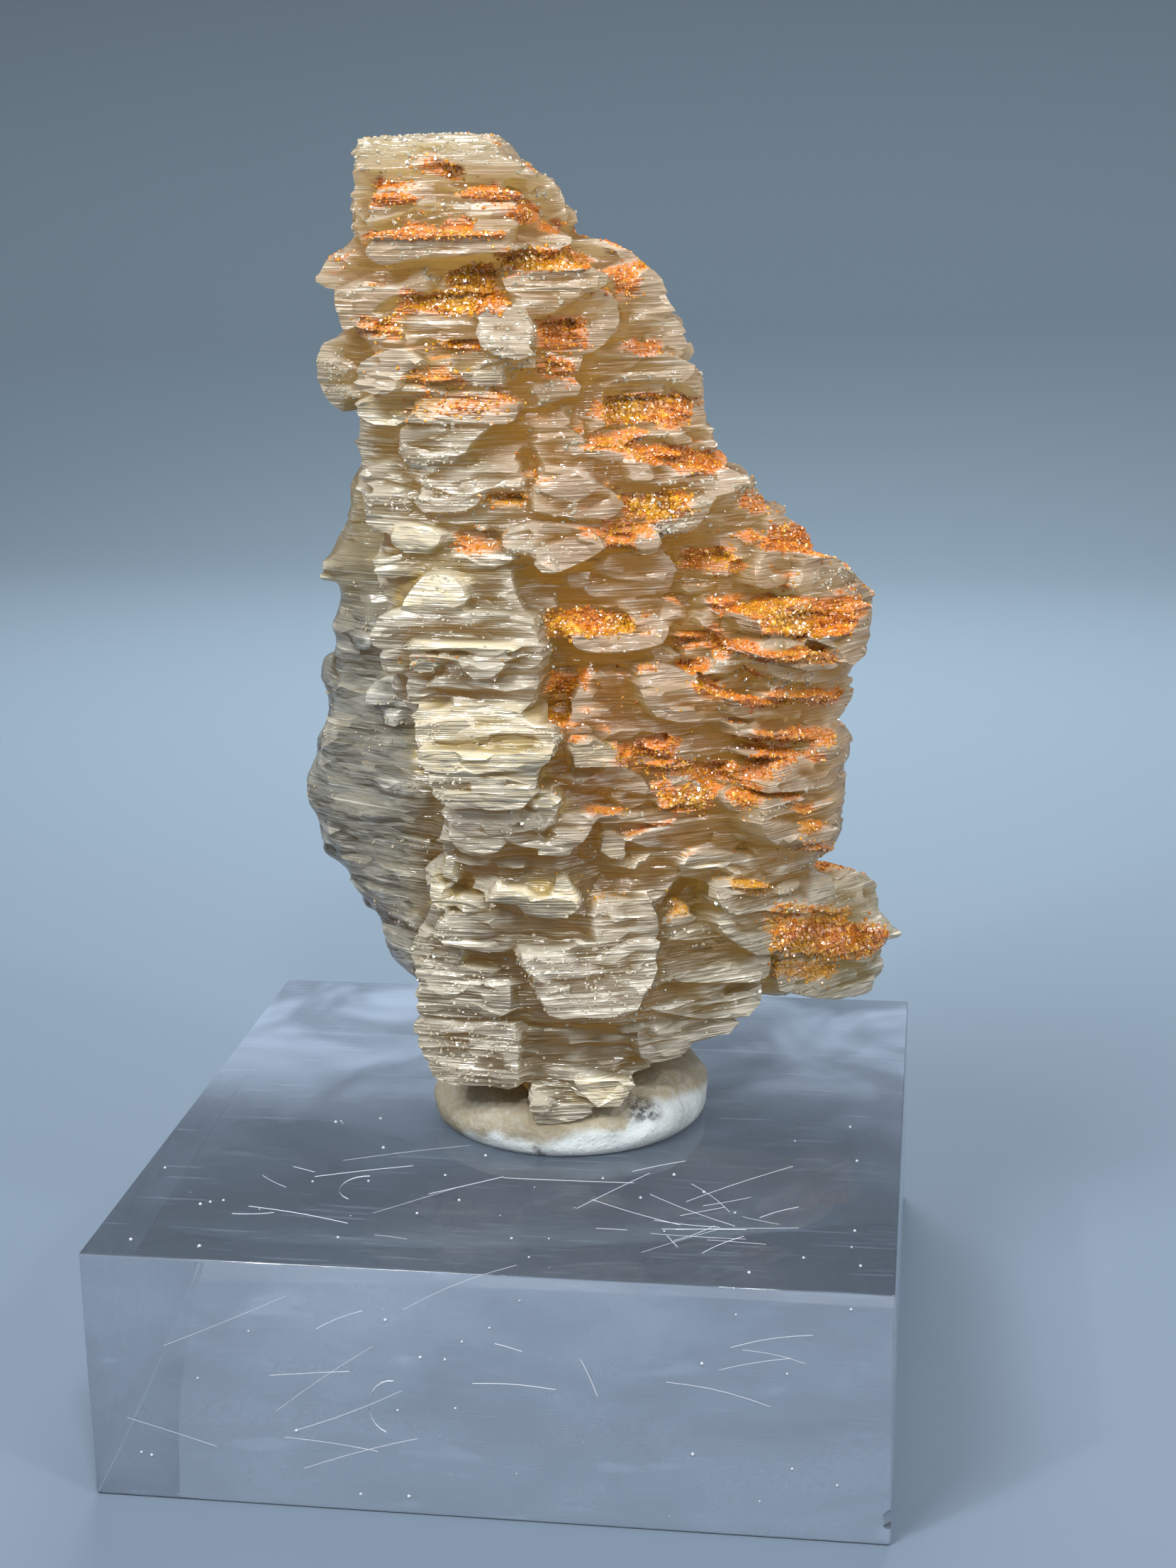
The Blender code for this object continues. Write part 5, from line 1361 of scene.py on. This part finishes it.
def makeBlock():
    low, high = (Vector(corner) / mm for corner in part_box("acrylic_base"))
    bm = bmesh.new()
    bmesh.ops.create_cube(bm, size=1.0)
    bmesh.ops.scale(bm, vec=high - low, verts=bm.verts)
    bmesh.ops.translate(bm, vec=(low + high) / 2, verts=bm.verts)
    bmesh.ops.bevel(bm, geom=bm.edges[:], offset=block["edge"], offset_type="OFFSET", affect="EDGES",
                    segments=3, profile=0.5, material=-1, clamp_overlap=True)
    item = shape("acrylic_block", bm)
    chips = bmesh.new()
    for x, y, z, size in block["chips"]:
        chip = bmesh.new()
        bmesh.ops.create_icosphere(chip, subdivisions=2, radius=size)
        for vert in chip.verts:
            vert.co *= rng.uniform(0.75, 1.1)
        bmesh.ops.scale(chip, vec=(1, 1, 0.8), verts=chip.verts)
        bmesh.ops.translate(chip, vec=(x * 1.012, y * 1.012, z + 0.1), verts=chip.verts)
        gather(chips, chip)
    subtract(item, shape("chips", chips))
    soften(item, 30)
    return item


def ribbon(total, route, width, out):
    # A thin raised line along a route on a flat face
    bm = bmesh.new()
    side = out.cross((route[1] - route[0]).normalized())
    end = bm.faces.new([bm.verts.new(route[0] + place) for place in
                        (side * -0.5 * width, side * 0.5 * width, out * 0.4 * width)])
    for start, stop in zip(route, route[1:]):
        made = bmesh.ops.extrude_face_region(bm, geom=[end], use_keep_orig=start == route[0])
        end = parts(made, bmesh.types.BMFace)[0]
        bmesh.ops.translate(bm, vec=stop - start, verts=parts(made, bmesh.types.BMVert))
    bmesh.ops.recalc_face_normals(bm, faces=bm.faces)
    gather(total, bm)


def makeMarks():
    total = bmesh.new()
    seeds = np.random.RandomState(71)
    top, front = Vector((0, 0, 1)), Vector((0, -1, 0))

    def onTop(area):
        return Vector((seeds.uniform(*area[0]), seeds.uniform(*area[1]), marks["top"]))

    def onFront(area):
        return Vector((seeds.uniform(*area[0]), marks["front"], seeds.uniform(*area[1])))

    for index in range(marks["count"]):
        length = seeds.uniform(*marks["long"])
        slanted = seeds.uniform() < marks["slanted"]
        angle = seeds.uniform(*marks["slant"]) if slanted else seeds.uniform(0, 3.14)
        if index < marks["onTop"]:
            spot = onTop(marks["topArea"])
            if index < marks["inCluster"]:
                across, back = marks["cluster"]
                spot = Vector((seeds.normal(*across), seeds.normal(*back), marks["top"]))
            aim, out = Vector((math.cos(angle), math.sin(angle), 0)), top
        else:
            spot = onFront(marks["frontArea"])
            aim, out = Vector((math.cos(angle), 0, math.sin(angle) * 0.6)).normalized(), front
        sway = seeds.uniform(*marks["sway"])
        side = out.cross(aim)
        route = [spot + aim * length * step + side * sway * length * math.sin(3.1 * step)
                 for step in np.linspace(0, 1, 6)]
        if all(abs(point.x) < 18.6 and point.y > -19.2 for point in route):
            ribbon(total, route, seeds.uniform(*marks["wide"]), out)
    for centre, radius, first, last, out in marks["hairs"]:
        aside = Vector((1, 0, 0))
        upward = Vector(out).cross(aside)
        route = [Vector(centre) + aside * radius * math.cos(turn) + upward * radius * 1.2 * math.sin(turn)
                 for turn in np.linspace(first, last, 12)]
        ribbon(total, route, marks["hairWide"], Vector(out))
    for _ in range(marks["lint"]):
        speck = bmesh.new()
        bmesh.ops.create_icosphere(speck, subdivisions=1, radius=seeds.uniform(*marks["lintSize"]))
        spot = onTop(marks["lintTop"])
        if seeds.uniform() < marks["lintOnFront"]:
            spot = onFront(marks["lintFront"])
        bmesh.ops.translate(speck, vec=spot, verts=speck.verts)
        gather(total, speck)
    item = shape("marks_and_lint", total)
    soften(item, 60)
    return item


def acrylicMaterial():
    # Clear plastic under a haze that is thicker on the sides and on the far part of the top. The haze's bluish
    # tone is painted light from the blue-grey surroundings; its milkiness is the block's own.
    nodes = Nodes("acrylic")
    place = nodes.place()
    smear = nodes.noise(nodes.place((1, 1, 1.6), (0, 0, 30)), 0.12, 2, 0.6, 0.6)
    fine = nodes.noise(place, 2.2, 1, 0.7)
    scuff = nodes.noise(nodes.place((0.25, 4.0, 1.0), (0, 0, 24)), 0.8, 1, 0.6)
    facing = nodes.make("ShaderNodeNewGeometry", output=1)
    level = nodes.axis(facing, 2).math("ABSOLUTE", 0)
    haze = nodes.ramp(level, 0.3, 0.8, block["sideHaze"], block["haze"])
    haze = haze * nodes.ramp(smear, 0.3, 0.75, 0.75, 1.0)
    haze = haze + 0.08 * nodes.ramp(scuff, 0.62, 0.74) + 0.04 * fine
    far = nodes.ramp(nodes.axis(place, 1), -4, 13) * nodes.ramp(level, 0.8, 0.9)
    haze = haze + far * nodes.ramp(smear, 0.35, 0.65, 0.25, 0.65)
    glass = nodes.principled(Base_Color=(1, 1, 1), Roughness=0.015 + 0.06 * nodes.ramp(smear, 0.5, 0.9),
                             IOR=block["ior"], Transmission_Weight=1.0)
    # Painted light: the haze colour is bluish for the light around the block
    blueLitFilm = nodes.principled(Base_Color=tones["blueLitFilm"], Roughness=0.5, IOR=block["ior"])
    return nodes.finish(nodes.blendShaders(haze, glass, blueLitFilm))


def markMaterial():
    nodes = Nodes("marks")
    cloud = nodes.noise(nodes.place(), 0.8, 2)
    colour = nodes.mix(cloud, tones["markLight"], tones["markDark"])
    return nodes.finish(nodes.principled(
        Base_Color=colour, Roughness=0.5 + 0.2 * cloud, Transmission_Weight=0.3))


finished(makeBlock(), "acrylic", acrylicMaterial(), "acrylic_base")
finished(makeMarks(), "acrylic", markMaterial())
say("block")


# Floor and light

stage = {
    "wide": 700, "front": -500, "back": 230, "tall": 520,
    "low": -0.03,
    "bend": 150,
    "colourRun": (-60, 230), "colourRise": (10, 190),
}

# Power in watts, size, place, what it points at, and whether it shows in clear and glossy surfaces
lamps = {
    "key": (0.58, 90, (-90, -150, 230), (0, 0, 35), True),
    "fill": (0.25, 200, (200, -140, 110), (0, 0, 35), True),
    "back": (0.6, 160, (-10, 170, 190), (0, 0, 35), False),
    "glint": (0.12, 14, (30, -120, 160), (0, 0, 40), True),
    "glintLeft": (0.08, 10, (-70, -110, 120), (0, 0, 40), True),
    "glintRight": (0.08, 10, (110, -90, 150), (0, 0, 40), True),
}

air = {"colour": (0.92, 0.94, 0.97, 1), "strength": 0.4}

tracing = {
    "use_light_tree": False,
    "max_bounces": 3, "transmission_bounces": 3, "diffuse_bounces": 1, "glossy_bounces": 1,
}


def makeStage():
    # A floor that bends up into a wall
    bm = bmesh.new()
    wide, front, low, back, bend = (stage[key] for key in ("wide", "front", "low", "back", "bend"))
    edge = bm.edges.new([bm.verts.new((-wide, front, low)), bm.verts.new((wide, front, low))])
    turns = [math.radians(turn) for turn in range(6, 91, 6)]
    profile = [(back + bend * math.sin(turn), bend - bend * math.cos(turn)) for turn in turns]
    for y, z in [(back, low)] + profile + [(back + bend, stage["tall"])]:
        made = bmesh.ops.extrude_edge_only(bm, edges=[edge])
        verts = parts(made, bmesh.types.BMVert)
        edge = [part for part in parts(made, bmesh.types.BMEdge)
                if all(vert in verts for vert in part.verts)][0]
        for vert in verts:
            vert.co.y = y
            vert.co.z = z
    bmesh.ops.recalc_face_normals(bm, faces=bm.faces)
    floor = shape("floor", bm)
    floor.data.transform(Matrix.Scale(mm, 4))
    floor.data.shade_smooth()
    nodes = Nodes("floor")
    place = nodes.place()
    # Painted shade and light: the floor is darker near the front and lighter far back, and turns darker up the
    # wall
    along = nodes.ramp(nodes.axis(place, 1), *stage["colourRun"])
    colour = nodes.mix(along, tones["floorNearShade"], tones["floorFarLight"])
    colour = nodes.mix(nodes.ramp(nodes.axis(place, 2), *stage["colourRise"]), colour, tones["wall"])
    floor.data.materials.append(nodes.finish(nodes.principled(Base_Color=colour, Roughness=0.45)))


def areaLight(name, power, size, place, target, seen):
    lamp = bpy.data.lights.new(name, "AREA")
    lamp.energy = power
    lamp.size = size * mm
    item = bpy.data.objects.new(name, lamp)
    item.location = Vector(place) * mm
    item.visible_transmission = seen
    item.visible_glossy = seen
    item.rotation_mode = "QUATERNION"
    item.rotation_quaternion = (Vector(target) - Vector(place)).to_track_quat("-Z", "Y")
    bpy.context.scene.collection.objects.link(item)


makeStage()
for name, lamp in lamps.items():
    areaLight(name, *lamp)
scene = bpy.context.scene
scene.world = bpy.data.worlds.new("studio")
scene.world.use_nodes = True
sky = scene.world.node_tree.nodes["Background"].inputs
sky["Color"].default_value = air["colour"]
sky["Strength"].default_value = air["strength"]
scene.view_settings.view_transform = "Standard"
for name, value in tracing.items():
    setattr(scene.cycles, name, value)
say("light")
